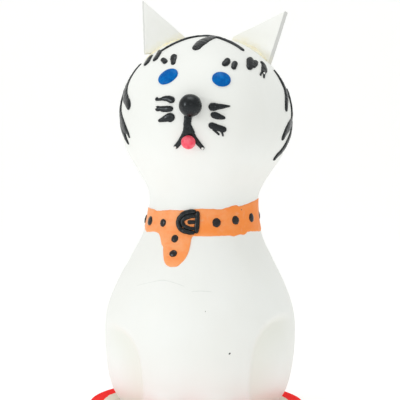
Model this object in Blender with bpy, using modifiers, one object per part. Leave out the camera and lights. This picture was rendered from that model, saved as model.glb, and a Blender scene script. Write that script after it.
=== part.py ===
"""Seated cat figure, a white hollow paper cat with raised painted marks, glued to a flat round base.

The cat faces -Y. "Left" and "right" in the names are as seen from in front of it, so left is -X.
Lengths are in metres, +Z is up, and the origin is the centre of the base's underside.
"""

import math

import bpy
from mathutils import Matrix, Vector

MM = 0.001
GAP = 0.3 * MM              # air between neighbouring pieces, where the real ones are glued

BASE_RADIUS = 73.8 * MM
BASE_THICKNESS = 6.0 * MM
BASE_EDGE_ROUNDING = 0.9 * MM

WALL = 2.8 * MM             # thickness of the paper shell
SHELL_SECTORS = 40          # facets round the body
SHELL_ROWS_BELOW = 26       # facet rows from the foot to the head's widest ring
SHELL_ROWS_ABOVE = 7        # facet rows from there to the crown
NECK_JOINT = 133 * MM       # where the head's shells meet the body's, hidden by the collar

# Height above the table and radius of the turned outline up to the head's widest ring, in millimetres.
OUTLINE = (
    (6, 53.0), (18, 60.0), (36, 63.9), (56, 65.1), (72, 63.6), (89, 57.4), (106, 48.6),
    (124, 40.2), (145, 36.9), (155, 39.3), (166, 46.0), (178, 53.2), (190, 57.0), (202, 57.9),
)
HEAD_HEIGHT = 202 * MM      # the head's widest ring; above it the head is half an ellipsoid
HEAD_RADIUS = 57.9 * MM
HEAD_RISE = 54.5 * MM
LEAN_START = 66 * MM        # the axis is upright up to here, then eases over to the head's centre
BODY_SHIFT = 1.6 * MM
HEAD_SHIFT = 4.2 * MM

# Hollows in front of the haunches: azimuth and height of the centre, half sizes, all in degrees and mm.
HAUNCHES = ((-63, 33, 27, 31), (59, 37, 28.5, 35))
HAUNCH_DEPTH = 2.6 * MM
HAUNCH_SQUARENESS = 2.5
HAUNCH_RIM = (1.08, 0.30)   # where a hollow's rim begins, as a share of its half size, and how wide it is
HAUNCH_FLOOR = (0.10, 0.75) # the floor slopes up from the rim to the middle between these shares
HAUNCH_FADE = (82, 32)      # the hollows die out towards the sides: azimuth and width in degrees

PAINT_HEIGHT = 1.1 * MM     # raised strokes of thick paint
PAINT_LIFT = 0.4 * MM       # air under them, which the flat facets need
EYE_HEIGHT = 1.5 * MM
STRAP_THICKNESS = 0.5 * MM
STRAP_LIFT = 0.5 * MM       # a little more air than elsewhere, because the neck's facets bulge between rows
STUD_HEIGHT = 1.4 * MM
EAR_THICKNESS = 4.5 * MM
GLUE_RADIUS = 1.3 * MM
GLUE_STEPS = 6              # straight pieces in a bead of glue
FOOT_SEARCH = (-30 * MM, 20 * MM)   # an ear's foot meets the head between these heights in its own plane

TAIL_RADIUS = 5.8 * MM
TAIL_ROOT = 214             # azimuth of the tail's root in degrees
TAIL_TURN = -88             # how far it goes round from there to the tip
TAIL_STEPS = 14
TAIL_ROOT_SHARE, TAIL_TIP_SHARE = 0.20, 0.35    # shares of the length over which it thins to its ends
TAIL_ROOT_SIZE, TAIL_TIP_SIZE = 0.45, 0.40      # thickness at the very ends, as a share of the middle's

# Round beads: direction from the head's centre, radius, and how far the centre is outside the skin.
NOSE = {"yaw": -9.7, "pitch": 6.8, "radius": 7.4 * MM, "proud": 5.4 * MM}
TONGUE = {"yaw": -11.5, "pitch": -15.9, "radius": 4.4 * MM, "proud": 3.2 * MM}

# Each stroke of black paint: (yaw, pitch) from the head's centre in degrees, and half width in millimetres.
STROKES = {
    "muzzle_stem": ((-12.1, -0.9, 2.6), (-12.1, -4.5, 2.7), (-12.1, -8.0, 2.9)),
    "mouth_left": ((-14.4, -9.9, 1.4), (-17.6, -15.0, 1.4), (-21.2, -20.0, 1.2)),
    "mouth_right": ((-9.3, -9.6, 1.4), (-5.9, -14.6, 1.4), (-2.0, -20.4, 1.2)),
    "whisker_left_upper": (
        (-35, 11, 1.3), (-31.5, 11.8, 0.9), (-27.5, 11.5, 1.7), (-24, 10.3, 2.2), (-21.5, 9.6, 1.8),
    ),
    "whisker_left_middle": ((-34, 4.8, 1.7), (-28, 5.0, 2.0), (-22, 5.1, 1.7)),
    "whisker_left_lower": ((-31.5, -3.0, 0.8), (-26, -1.6, 2.1), (-21, -0.7, 2.5)),
    "whisker_right_upper": ((2, 6.8, 2.5), (8, 6.7, 1.8), (15, 7.0, 0.5)),
    "whisker_right_middle": ((3, 1.5, 1.5), (7, 0.6, 1.9), (11.5, -0.4, 0.8)),
    "whisker_right_lower": ((2, -5.2, 1.9), (7, -6.7, 2.1), (12.5, -8.5, 1.9)),
    "brow_left_outer": ((-44, 42, 1.4), (-40, 40.2, 1.5), (-36.5, 38.3, 1.4)),
    "brow_left_inner": ((-33, 45, 2.0), (-30.7, 41, 1.7), (-28.5, 37, 1.2)),
    "brow_right_inner": ((19, 41.5, 1.7), (16.7, 39, 1.6), (14.5, 36.3, 1.3)),
    "brow_right_outer": ((25, 39, 1.5), (23, 36.3, 1.5), (21.3, 33.6, 1.4)),
    "temple_left_outer": ((-70, 46, 0.5), (-66, 41, 1.5), (-62.5, 37, 1.8)),
    "temple_left_inner": ((-64, 52, 0.6), (-58, 47, 1.5), (-53, 41, 1.5)),
    "temple_right_inner": ((47, 42, 3.2), (41, 38.5, 2.4), (35, 34, 1.0)),
    "temple_right_outer": ((56, 40.5, 0.8), (57, 35.5, 1.7), (50.5, 31.5, 1.6), (44, 29.3, 0.8)),
    "crown_stripe": (
        (-58, 51, 1.2), (-53, 63, 1.6), (-48, 76, 1.8), (26, 79, 1.8), (39, 65, 1.7), (44, 52, 1.3),
    ),
    "crown_drop": ((-7, 69.5, 2.3), (-12.6, 62, 3.1), (-15, 53.5, 2.0)),
    "side_stripe_left_upper": (
        (-86, 37, 0.6), (-85, 28, 2.6), (-82, 20, 3.8), (-73, 13, 3.6), (-65, 8.4, 3.1), (-62, 6, 2.4),
    ),
    "side_stripe_left_lower": ((-82, 6, 1.6), (-77, -4, 4.0), (-71, -11, 3.0), (-66.5, -18, 0.8)),
    "side_stripe_right_upper": ((71, 33, 0.6), (73, 24, 2.4), (70.5, 14, 2.6), (65.8, 5, 2.1)),
    "side_stripe_right_middle": ((84, 17, 1.2), (84, 6, 1.8), (76, -3.5, 3.2), (68, -9, 3.0), (63, -14, 1.8)),
    "side_stripe_right_lower": ((88, -7, 2.6), (79, -17, 3.4), (71, -22.5, 2.6), (63, -28, 1.2)),
    "nape_stripe_upper": ((150, 44, 1.0), (172, 49, 2.4), (196, 44, 1.0)),
    "nape_stripe_middle": ((142, 23, 1.0), (170, 28, 2.6), (200, 22, 1.0)),
    "nape_stripe_lower": ((150, 3, 1.0), (172, 7, 2.2), (194, 2, 1.0)),
}

# Eyes: direction, half sizes across and up in millimetres, and the tilt of the long side in degrees.
EYES = {"eye_left": (-29.3, 26.9, 6.9, 4.9, 32), "eye_right": (10.4, 25.3, 6.0, 4.9, -10)}

# Collar, by azimuth round the neck in degrees and height above the table in millimetres.
COLLAR_BOTTOM = 124.3
COLLAR_TOP = 142.3
COLLAR_TILT = 3.6           # the top edge is this much higher on the right and lower on the left
TAB = ((-27, 123.4, 10.0), (-27, 121, 9.8), (-25, 115.5, 9.2), (-22.5, 109.5, 7.2), (-22, 104.9, 2.4))
BUCKLE = (
    (-7.0, 134, 1.9), (-7.5, 139.3, 2.2), (-15, 139.3, 2.4), (-22.5, 135.5, 2.6),
    (-22.5, 129.8, 2.4), (-15, 127.4, 1.7), (-7.5, 127.6, 2.0),
)
PRONG = ((-16.0, 133, 1.2), (-13, 133, 1.3), (-10.6, 133, 1.2))
FRONT_STUDS = ((-88.5, 132), (-66, 132), (-42.8, 131.7), (13.3, 132.8), (33.8, 134.1), (57.2, 135.1))
BACK_STUDS = ((97, 135), (126, 134.6), (155, 133.8), (184, 132.9), (213, 132), (242, 131.4))
TAB_STUDS = ((-26, 122), (-24.3, 112.6))
STUD_RADIUS = 2.7 * MM

# Ears: a point, a turn and a backward lean in degrees, the corners in the ear's own plane and how far
# the glue reaches along the foot, in millimetres.
EARS = {
    "ear_left": {
        "point": (-22.2, 3.7, 243), "turn": -16, "lean": 5,
        "corners": ((-17.2, 37.3), (-16.2, 1.0), (13.6, 4.0), (12.0, 13.1)),
        "foot": (-13, 10),
    },
    "ear_right": {
        "point": (36.4, 0.6, 246), "turn": 34, "lean": 15,
        "corners": ((20.9, 28.2), (-17.9, 11.0), (-19.4, 3.0), (13.5, -10.0)),
        "foot": (-16, 12),
    },
}


def profile_radius(z):
    """Radius of the turned outline at height z, and its slope, both in metres."""
    if z >= HEAD_HEIGHT:
        share = min(1.0, (z - HEAD_HEIGHT) / HEAD_RISE)
        return HEAD_RADIUS * math.sqrt(1 - share * share), 0.0
    height = max(z / MM, OUTLINE[0][0])
    i = max(k for k in range(len(OUTLINE) - 1) if OUTLINE[k][0] <= height)
    low, high = OUTLINE[i], OUTLINE[i + 1]
    span = high[0] - low[0]
    t = (height - low[0]) / span
    m0, m1 = outline_slope(i), outline_slope(i + 1)
    radius = (
        (2 * t**3 - 3 * t**2 + 1) * low[1] + (t**3 - 2 * t**2 + t) * span * m0
        + (3 * t**2 - 2 * t**3) * high[1] + (t**3 - t**2) * span * m1
    )
    slope = (
        (6 * t**2 - 6 * t) * (low[1] - high[1]) / span
        + (3 * t**2 - 4 * t + 1) * m0 + (3 * t**2 - 2 * t) * m1
    )
    return radius * MM, slope


def outline_slope(i):
    """Slope of the outline at its point i; it is upright at the head's widest ring."""
    if i == len(OUTLINE) - 1:
        return 0.0
    before, after = OUTLINE[max(i - 1, 0)], OUTLINE[i + 1]
    return (after[1] - before[1]) / (after[0] - before[0])


def smooth(t):
    """Smooth step from 0 to 1."""
    t = min(1.0, max(0.0, t))
    return t * t * (3 - 2 * t)


def axis_x(z):
    """How far the axis stands to the right at height z."""
    return BODY_SHIFT + (HEAD_SHIFT - BODY_SHIFT) * smooth((z - LEAN_START) / (HEAD_HEIGHT - LEAN_START))


def haunch_hollow(azimuth, z):
    """Depth of the hollow beside the front legs, deepest just inside its rounded outline."""
    depth = 0.0
    for centre, height, half_angle, half_height in HAUNCHES:
        across = abs(azimuth - centre) / half_angle
        up = abs(z / MM - height) / half_height
        q = (across**HAUNCH_SQUARENESS + up**HAUNCH_SQUARENESS) ** (1 / HAUNCH_SQUARENESS)
        rim = smooth((HAUNCH_RIM[0] - q) / HAUNCH_RIM[1])
        floor = smooth((q - HAUNCH_FLOOR[0]) / HAUNCH_FLOOR[1])
        fade = smooth((HAUNCH_FADE[0] - abs(azimuth)) / HAUNCH_FADE[1])
        depth += HAUNCH_DEPTH * rim * floor * fade
    return depth


def skin_radius(azimuth, z):
    """Radius of the painted skin at an azimuth in degrees (0 is the front, 90 the right) and a height."""
    return profile_radius(z)[0] - haunch_hollow((azimuth + 180) % 360 - 180, z)


def skin_point(azimuth, z):
    """Point on the skin at an azimuth and a height."""
    radius = skin_radius(azimuth, z)
    angle = math.radians(azimuth)
    return Vector((axis_x(z) + radius * math.sin(angle), -radius * math.cos(angle), z))


def clearance(point):
    """Roughly how far a point is outside the skin; negative is inside."""
    out = Vector((point.x - axis_x(point.z), point.y))
    if point.z >= HEAD_HEIGHT:
        share = math.hypot(out.length / HEAD_RADIUS, (point.z - HEAD_HEIGHT) / HEAD_RISE)
        return (share - 1) * HEAD_RISE
    slope = profile_radius(point.z)[1]
    azimuth = math.degrees(math.atan2(out.x, -out.y))
    return (out.length - skin_radius(azimuth, point.z)) / math.hypot(1, slope)


def skin_normal(point):
    """Outward direction of the skin near a point."""
    step = 0.05 * MM
    steps = (Vector((step, 0, 0)), Vector((0, step, 0)), Vector((0, 0, step)))
    return Vector([clearance(point + s) - clearance(point - s) for s in steps]).normalized()


def settle(point, lift):
    """Moves a point along the skin's normal until it is that far off the skin."""
    for _ in range(6):
        normal = skin_normal(point)
        point = point - normal * (clearance(point) - lift)
    return point


def head_point(yaw, pitch):
    """Point on the skin in a direction from the head's centre, in degrees."""
    centre = Vector((HEAD_SHIFT, 0, HEAD_HEIGHT))
    yaw, pitch = math.radians(yaw), math.radians(pitch)
    direction = Vector((math.sin(yaw) * math.cos(pitch), -math.cos(yaw) * math.cos(pitch), math.sin(pitch)))
    near, far = 0.0, 1.5 * HEAD_RADIUS
    for _ in range(40):
        middle = (near + far) / 2
        if clearance(centre + direction * middle) < 0:
            near = middle
        else:
            far = middle
    return centre + direction * far


def spline(points, steps, closed=False):
    """Catmull-Rom curve through vectors of any size, with that many steps from point to point."""
    count = len(points)
    spans = count if closed else count - 1
    made = []
    for i in range(spans):
        if closed:
            a, b, c, d = (points[(i + k) % count] for k in (-1, 0, 1, 2))
        else:
            a, b, c, d = (points[min(max(i + k, 0), count - 1)] for k in (-1, 0, 1, 2))
        for step in range(steps):
            t = step / steps
            made.append(0.5 * (
                2 * b + (c - a) * t + (2 * a - 5 * b + 4 * c - d) * t**2 + (3 * b - a - 3 * c + d) * t**3
            ))
    if not closed:
        made.append(points[-1])
    return made


def material(name, color, roughness, metallic=0.0):
    """Principled material."""
    made = bpy.data.materials.new(name)
    made.use_nodes = True
    shader = made.node_tree.nodes["Principled BSDF"]
    shader.inputs["Base Color"].default_value = (*color, 1)
    shader.inputs["Roughness"].default_value = roughness
    shader.inputs["Metallic"].default_value = metallic
    return made


def add_object(name, vertices, faces, collection, finish=None):
    """Mesh object in a collection."""
    mesh = bpy.data.meshes.new(name)
    mesh.from_pydata([tuple(v) for v in vertices], [], faces)
    mesh.update()
    if finish:
        mesh.materials.append(finish)
    made = bpy.data.objects.new(name, mesh)
    collection.objects.link(made)
    return made


def add_thickness(piece, thickness, offset):
    """Solidify modifier: offset 1 grows outward, -1 inward, 0 both ways."""
    solid = piece.modifiers.new("thickness", "SOLIDIFY")
    solid.thickness = thickness
    solid.offset = offset
    solid.use_even_offset = True


def add_cut(piece, cutter, operation="DIFFERENCE"):
    """Exact Boolean modifier."""
    cut = piece.modifiers.new("cut_" + cutter.name, "BOOLEAN")
    cut.object = cutter
    cut.operation = operation
    cut.solver = "EXACT"


def as_cutter(piece, collection):
    """Marks an object as a cutter, shown as a wire and left out of renders."""
    for holder in list(piece.users_collection):
        holder.objects.unlink(piece)
    collection.objects.link(piece)
    piece.hide_render = True
    piece.display_type = "WIRE"
    return piece


def into(piece, collection):
    """Moves an object from wherever the operator put it into a collection."""
    for holder in list(piece.users_collection):
        holder.objects.unlink(piece)
    collection.objects.link(piece)
    return piece


def ball(name, centre, radius, segments, collection, finish=None, scale=(1, 1, 1)):
    """UV sphere primitive, stretched along the axes where scale says so."""
    bpy.ops.mesh.primitive_uv_sphere_add(
        segments=segments, ring_count=segments // 2, radius=radius, location=centre
    )
    made = into(bpy.context.object, collection)
    made.name = name
    made.data.transform(Matrix.Diagonal((*scale, 1)))
    if finish:
        made.data.materials.append(finish)
    return made


def strip(name, anchors, lift, thickness, collection, finish, steps=3, closed=False):
    """Band of even thickness along the skin. Anchors are (point on the skin, half width in metres)."""
    rows = spline([Vector((*point, half)) for point, half in anchors], steps, closed)
    count = len(rows)
    vertices = []
    for i, row in enumerate(rows):
        after = rows[(i + 1) % count] if closed else rows[min(i + 1, count - 1)]
        before = rows[i - 1] if closed else rows[max(i - 1, 0)]
        along = (after.xyz - before.xyz).normalized()
        middle = settle(row.xyz, lift)
        across = along.cross(skin_normal(middle)).normalized() * row.w
        for side in (-1, 0, 1):
            vertices.append(settle(middle + across * side, lift))
    faces = []
    for i in range(count if closed else count - 1):
        low, high = 3 * i, 3 * ((i + 1) % count)
        faces += [(low + k, low + k + 1, high + k + 1, high + k) for k in (0, 1)]
    made = add_object(name, vertices, faces, collection, finish)
    add_thickness(made, thickness, 1)
    return made


def patch(name, centre, across, up, tilt, lift, thickness, collection, finish, segments=12):
    """Oval plate that follows the skin."""
    normal = skin_normal(centre)
    level = Vector((0, 0, 1)).cross(normal).normalized()
    upward = normal.cross(level)
    lean = math.radians(tilt)
    vertices = [settle(centre, lift)]
    for share in (0.55, 1.0):
        for k in range(segments):
            angle = 2 * math.pi * k / segments
            u = share * across * math.cos(angle)
            v = share * up * math.sin(angle)
            right = u * math.cos(lean) - v * math.sin(lean)
            high = u * math.sin(lean) + v * math.cos(lean)
            vertices.append(settle(centre + level * right + upward * high, lift))
    faces = []
    for k in range(segments):
        following = (k + 1) % segments
        faces.append((0, 1 + k, 1 + following))
        faces.append((1 + k, 1 + segments + k, 1 + segments + following, 1 + following))
    made = add_object(name, vertices, faces, collection, finish)
    add_thickness(made, thickness, 1)
    return made


def seat(bead):
    """Centre of a bead that stands that far proud of the skin."""
    point = head_point(bead["yaw"], bead["pitch"])
    return point + skin_normal(point) * bead["proud"]


def build_base(collection, finish):
    bpy.ops.mesh.primitive_cylinder_add(
        vertices=64, radius=BASE_RADIUS, depth=BASE_THICKNESS, location=(0, 0, BASE_THICKNESS / 2)
    )
    base = into(bpy.context.object, collection)
    base.name = "base_disc"
    base.data.materials.append(finish)
    rounding = base.modifiers.new("rounded_edge", "BEVEL")
    rounding.width = BASE_EDGE_ROUNDING
    rounding.segments = 2


def shell_surface():
    """Vertices and faces of the whole skin, open at the foot."""
    foot = BASE_THICKNESS + GAP
    heights = [foot + (HEAD_HEIGHT - foot) * i / SHELL_ROWS_BELOW for i in range(SHELL_ROWS_BELOW + 1)]
    for i in range(1, SHELL_ROWS_ABOVE):
        heights.append(HEAD_HEIGHT + HEAD_RISE * math.sin(math.pi / 2 * i / SHELL_ROWS_ABOVE))
    vertices = [
        skin_point(360 * k / SHELL_SECTORS, z) for z in heights for k in range(SHELL_SECTORS)
    ]
    vertices.append(Vector((HEAD_SHIFT, 0, HEAD_HEIGHT + HEAD_RISE)))
    faces = []
    for row in range(len(heights) - 1):
        for k in range(SHELL_SECTORS):
            following = (k + 1) % SHELL_SECTORS
            low, high = row * SHELL_SECTORS, (row + 1) * SHELL_SECTORS
            faces.append((low + k, low + following, high + following, high + k))
    last = (len(heights) - 1) * SHELL_SECTORS
    for k in range(SHELL_SECTORS):
        faces.append((last + k, last + (k + 1) % SHELL_SECTORS, len(vertices) - 1))
    return vertices, faces


def block(name, low, high, collection):
    """Box cutter between two corners."""
    size = high - low
    bpy.ops.mesh.primitive_cube_add(size=1, location=(low + high) / 2)
    made = bpy.context.object
    made.name = name
    made.data.transform(Matrix.Diagonal((*size, 1)))
    return as_cutter(made, collection)


def build_shells(collection, cutters, finish):
    """Body and head, each a front and a back half shell, with shallow seats in the face for the two beads."""
    vertices, faces = shell_surface()
    seats = []
    for name, bead in (("nose_seat", NOSE), ("tongue_seat", TONGUE)):
        cutter = ball(name, seat(bead), bead["radius"] + GAP, 24, cutters)
        seats.append(as_cutter(cutter, cutters))
    reach = 2 * BASE_RADIUS
    levels = (
        ("body", 0, NECK_JOINT - GAP / 2),
        ("head", NECK_JOINT + GAP / 2, HEAD_HEIGHT + reach),
    )
    for level, bottom, top in levels:
        for half, nearest, farthest in (("front", -reach, -GAP / 2), ("back", GAP / 2, reach)):
            shell = add_object(f"{level}_shell_{half}", vertices, faces, collection, finish)
            add_thickness(shell, WALL, -1)
            low, high = Vector((-reach, nearest, bottom)), Vector((reach, farthest, top))
            quarter = block(f"{level}_{half}_space", low, high, cutters)
            add_cut(shell, quarter, "INTERSECT")
            if shell.name == "head_shell_front":
                for cutter in seats:
                    add_cut(shell, cutter)


def build_face(collection, paint, nose, tongue, eye):
    ball("nose_bead", seat(NOSE), NOSE["radius"], 20, collection, nose)
    ball("tongue_bead", seat(TONGUE), TONGUE["radius"], 16, collection, tongue)
    for name, (yaw, pitch, across, up, tilt) in EYES.items():
        centre = head_point(yaw, pitch)
        patch(name, centre, across * MM, up * MM, tilt, PAINT_LIFT, EYE_HEIGHT, collection, eye, 16)
    for name, points in STROKES.items():
        anchors = [(head_point(yaw, pitch), half * MM) for yaw, pitch, half in points]
        strip(name, anchors, PAINT_LIFT, PAINT_HEIGHT, collection, paint)


def build_collar(collection, strap, paint):
    """Band round the neck, its hanging tab, buckle, prong and studs."""
    rows = 3
    vertices = []
    for row in range(rows + 1):
        for k in range(SHELL_SECTORS):
            azimuth = 360 * k / SHELL_SECTORS
            top = COLLAR_TOP + COLLAR_TILT * math.sin(math.radians(azimuth))
            height = COLLAR_BOTTOM + (top - COLLAR_BOTTOM) * row / rows
            vertices.append(settle(skin_point(azimuth, height * MM), STRAP_LIFT))
    faces = []
    for row in range(rows):
        for k in range(SHELL_SECTORS):
            following = (k + 1) % SHELL_SECTORS
            low, high = row * SHELL_SECTORS, (row + 1) * SHELL_SECTORS
            faces.append((low + k, low + following, high + following, high + k))
    band = add_object("collar_band", vertices, faces, collection, strap)
    add_thickness(band, STRAP_THICKNESS, 1)

    def on_neck(points):
        return [(skin_point(azimuth, z * MM), half * MM) for azimuth, z, half in points]

    over_strap = STRAP_LIFT + STRAP_THICKNESS + GAP
    strip("collar_tab", on_neck(TAB), STRAP_LIFT, STRAP_THICKNESS, collection, strap, 3)
    strip("collar_buckle", on_neck(BUCKLE), over_strap, PAINT_HEIGHT, collection, paint, 3, closed=True)
    strip("buckle_prong", on_neck(PRONG), over_strap, PAINT_HEIGHT, collection, paint)
    for k, (azimuth, z) in enumerate(FRONT_STUDS + BACK_STUDS):
        patch(
            f"collar_stud_{k + 1:02d}", skin_point(azimuth, z * MM), STUD_RADIUS, STUD_RADIUS, 0,
            over_strap, STUD_HEIGHT, collection, paint, 10,
        )
    for name, (azimuth, z) in zip(("tab_stud_upper", "tab_stud_lower"), TAB_STUDS):
        patch(
            name, skin_point(azimuth, z * MM), STUD_RADIUS, STUD_RADIUS, 0,
            over_strap, STUD_HEIGHT, collection, paint, 10,
        )


def ear_matrix(ear):
    """Places the ear's own plane: X across it, Y up it and Z out of its front."""
    turn, lean = math.radians(ear["turn"]), math.radians(ear["lean"])
    across = Vector((math.cos(turn), -math.sin(turn), 0))
    level_front = Vector((-math.sin(turn), -math.cos(turn), 0))
    up = Vector((0, 0, 1)) * math.cos(lean) - level_front * math.sin(lean)
    front = across.cross(up)
    matrix = Matrix((across, up, front)).transposed().to_4x4()
    matrix.translation = Vector(ear["point"]) * MM
    return matrix


def glue_line(ear, matrix):
    """Centre line of the glue bead, in the corner between the ear's front and the head."""
    out = EAR_THICKNESS / 2 + GAP + GLUE_RADIUS
    points = []
    for k in range(GLUE_STEPS + 1):
        across = (ear["foot"][0] + (ear["foot"][1] - ear["foot"][0]) * k / GLUE_STEPS) * MM
        low, high = FOOT_SEARCH
        for _ in range(40):
            middle = (low + high) / 2
            if clearance(matrix @ Vector((across, middle, out))) < GLUE_RADIUS + 2 * GAP:
                low = middle
            else:
                high = middle
        points.append(matrix @ Vector((across, high, out)))
    return points


def build_ears(collection, cutters, card, glue):
    """Flat card ears, cut to the head at the foot, each with a bead of glue along its front."""
    head = ball(
        "head_clearance", (HEAD_SHIFT, 0, HEAD_HEIGHT), 1.0, 64, cutters,
        scale=(HEAD_RADIUS + GAP, HEAD_RADIUS + GAP, HEAD_RISE + GAP),
    )
    as_cutter(head, cutters)
    for name, ear in EARS.items():
        corners = [Vector((x, y, 0)) * MM for x, y in ear["corners"]]
        plate = add_object(name, corners, [tuple(range(len(corners)))], collection, card)
        plate.matrix_world = ear_matrix(ear)
        add_thickness(plate, EAR_THICKNESS, 0)
        add_cut(plate, head)
        tube = bpy.data.curves.new(name.replace("ear", "ear_glue"), "CURVE")
        tube.dimensions = "3D"
        tube.bevel_depth = GLUE_RADIUS
        tube.bevel_resolution = 1
        tube.use_fill_caps = True
        line = tube.splines.new("POLY")
        points = glue_line(ear, plate.matrix_world)
        line.points.add(len(points) - 1)
        for slot, point in zip(line.points, points):
            slot.co = (*point, 1)
        tube.materials.append(glue)
        collection.objects.link(bpy.data.objects.new(tube.name, tube))


def build_tail(collection, finish):
    """Rolled paper tail glued round the back of the foot, thick at the root and thin at the tip."""
    tube = bpy.data.curves.new("tail", "CURVE")
    tube.dimensions = "3D"
    tube.bevel_depth = 1.0
    tube.bevel_resolution = 2
    tube.use_fill_caps = True
    line = tube.splines.new("POLY")
    line.points.add(TAIL_STEPS)
    for k in range(TAIL_STEPS + 1):
        share = k / TAIL_STEPS
        azimuth = TAIL_ROOT + TAIL_TURN * share
        root = TAIL_ROOT_SIZE + (1 - TAIL_ROOT_SIZE) * smooth(share / TAIL_ROOT_SHARE)
        tip = TAIL_TIP_SIZE + (1 - TAIL_TIP_SIZE) * smooth((1 - share) / TAIL_TIP_SHARE)
        radius = TAIL_RADIUS * root * tip
        height = BASE_THICKNESS + GAP + radius
        body = max(skin_radius(azimuth, height + radius * lift) for lift in (-1, 0, 1))
        distance = body + GAP + radius
        angle = math.radians(azimuth)
        line.points[k].co = (
            axis_x(height) + distance * math.sin(angle), -distance * math.cos(angle), height, 1,
        )
        line.points[k].radius = radius
    tube.materials.append(finish)
    collection.objects.link(bpy.data.objects.new("tail", tube))


def main():
    for old in list(bpy.data.objects):
        bpy.data.objects.remove(old)
    parts = bpy.data.collections.new("cat_figure")
    cutters = bpy.data.collections.new("cutters")
    for collection in (parts, cutters):
        bpy.context.scene.collection.children.link(collection)

    white = material("white_enamel", (0.92, 0.93, 0.90), 0.35)
    board = material("painted_board", (0.78, 0.73, 0.65), 0.6)
    card = material("white_card", (0.89, 0.90, 0.87), 0.7)
    glue = material("dried_glue", (0.86, 0.80, 0.60), 0.4)
    paint = material("black_relief_paint", (0.03, 0.032, 0.035), 0.35)
    nose = material("black_bead", (0.03, 0.032, 0.035), 0.3)
    tongue = material("pink_bead", (0.85, 0.09, 0.14), 0.35)
    eye = material("blue_relief_paint", (0.02, 0.17, 0.48), 0.3)
    strap = material("orange_strap", (0.92, 0.36, 0.13), 0.6)

    build_base(parts, board)
    build_shells(parts, cutters, white)
    build_face(parts, paint, nose, tongue, eye)
    build_collar(parts, strap, paint)
    build_ears(parts, cutters, card, glue)
    build_tail(parts, white)


main()
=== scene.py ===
# Looks of the seated cat figure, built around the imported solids. The cat faces -Y, and "left" is -X, as seen
# from in front. Lengths are in metres unless a comment says mm.

import math

import bpy
import numpy as np
from mathutils import Matrix, Vector, noise


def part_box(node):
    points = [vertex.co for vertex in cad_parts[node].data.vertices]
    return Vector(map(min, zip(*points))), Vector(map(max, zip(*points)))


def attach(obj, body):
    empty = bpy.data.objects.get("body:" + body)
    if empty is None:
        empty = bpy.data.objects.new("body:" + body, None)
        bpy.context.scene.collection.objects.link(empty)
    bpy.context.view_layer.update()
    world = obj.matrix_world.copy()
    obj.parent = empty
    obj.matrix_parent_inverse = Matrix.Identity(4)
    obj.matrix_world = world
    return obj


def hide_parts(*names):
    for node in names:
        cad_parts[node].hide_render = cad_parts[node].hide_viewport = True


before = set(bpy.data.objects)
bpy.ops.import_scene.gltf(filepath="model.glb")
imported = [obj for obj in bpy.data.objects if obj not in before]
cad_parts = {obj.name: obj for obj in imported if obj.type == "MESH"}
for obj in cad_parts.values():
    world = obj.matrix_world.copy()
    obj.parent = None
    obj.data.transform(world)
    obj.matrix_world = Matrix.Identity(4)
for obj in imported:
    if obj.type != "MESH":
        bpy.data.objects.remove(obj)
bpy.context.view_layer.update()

MM = 0.001

# ---------------------------------------------------------------- driving sizes, read from the frame

base_low, base_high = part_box("base_disc")
BASE_RADIUS = (base_high.x - base_low.x) / 2
BASE_TOP = base_high.z
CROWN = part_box("head_shell_front")[1].z

# Height above the table and radius of the turned outline up to the head's widest ring, in millimetres.
OUTLINE = (
    (6, 53.0), (18, 60.0), (36, 63.9), (56, 65.1), (72, 63.6), (89, 57.4), (106, 48.6),
    (124, 40.2), (145, 36.9), (155, 39.3), (166, 46.0), (178, 53.2), (190, 57.0), (202, 57.9),
)
HEAD_HEIGHT = OUTLINE[-1][0] * MM
HEAD_RADIUS = OUTLINE[-1][1] * MM
HEAD_RISE = CROWN - HEAD_HEIGHT
LEAN_START = 66 * MM
BODY_SHIFT = 1.6 * MM
HEAD_SHIFT = 4.2 * MM
HEAD_CENTRE = np.array((HEAD_SHIFT, 0, HEAD_HEIGHT))

# Hollows in front of the haunches: azimuth and height of the centre, half sizes, in degrees and mm.
HAUNCHES = ((-63, 33, 27, 31), (59, 37, 28.5, 35))
HAUNCH_DEPTH = 3.1
HAUNCH_SQUARENESS = 2.5
HAUNCH_RIM = (1.06, 0.20)   # where a hollow's rim begins, as a share of its half size, and how wide it is
HAUNCH_FLOOR = (0.10, 0.75)  # the floor slopes up from the rim to the middle between these shares
HAUNCH_FADE = (82, 32)      # the hollows die out towards the sides: azimuth and width in degrees

# Front legs, side by side under the chest: azimuth of the middle and half width in degrees, swelling in mm.
LEGS = ((-21, 16), (12, 17))
LEG_SWELL = 0.8
PAW_SWELL = 1.6
PAW_TOP = 27


# ---------------------------------------------------------------- the figure's skin as a formula

def smooth(t):
    """Smooth step from 0 to 1."""
    t = np.clip(t, 0, 1)
    return t * t * (3 - 2 * t)


def outline_table(samples=1500):
    """Heights and radii in millimetres along the cubic curve through OUTLINE, upright at its upper end."""
    z, r = np.array(OUTLINE, float).T
    slope = np.empty(len(z))
    slope[1:-1] = (r[2:] - r[:-2]) / (z[2:] - z[:-2])
    slope[0] = (r[1] - r[0]) / (z[1] - z[0])
    slope[-1] = 0
    heights = np.linspace(z[0], z[-1], samples)
    i = np.clip(np.searchsorted(z, heights, "right") - 1, 0, len(z) - 2)
    span = z[i + 1] - z[i]
    t = (heights - z[i]) / span
    radii = (
        (2 * t**3 - 3 * t**2 + 1) * r[i] + (t**3 - 2 * t**2 + t) * span * slope[i]
        + (3 * t**2 - 2 * t**3) * r[i + 1] + (t**3 - t**2) * span * slope[i + 1]
    )
    return heights, radii


TABLE_HEIGHTS, TABLE_RADII = outline_table()


def turned_radius(z):
    """Radius of the turned outline at heights z, in metres."""
    lower = np.interp(z / MM, TABLE_HEIGHTS, TABLE_RADII) * MM
    share = np.clip((z - HEAD_HEIGHT) / HEAD_RISE, 0, 1)
    return np.where(z > HEAD_HEIGHT, HEAD_RADIUS * np.sqrt(1 - share**2), lower)


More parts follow.
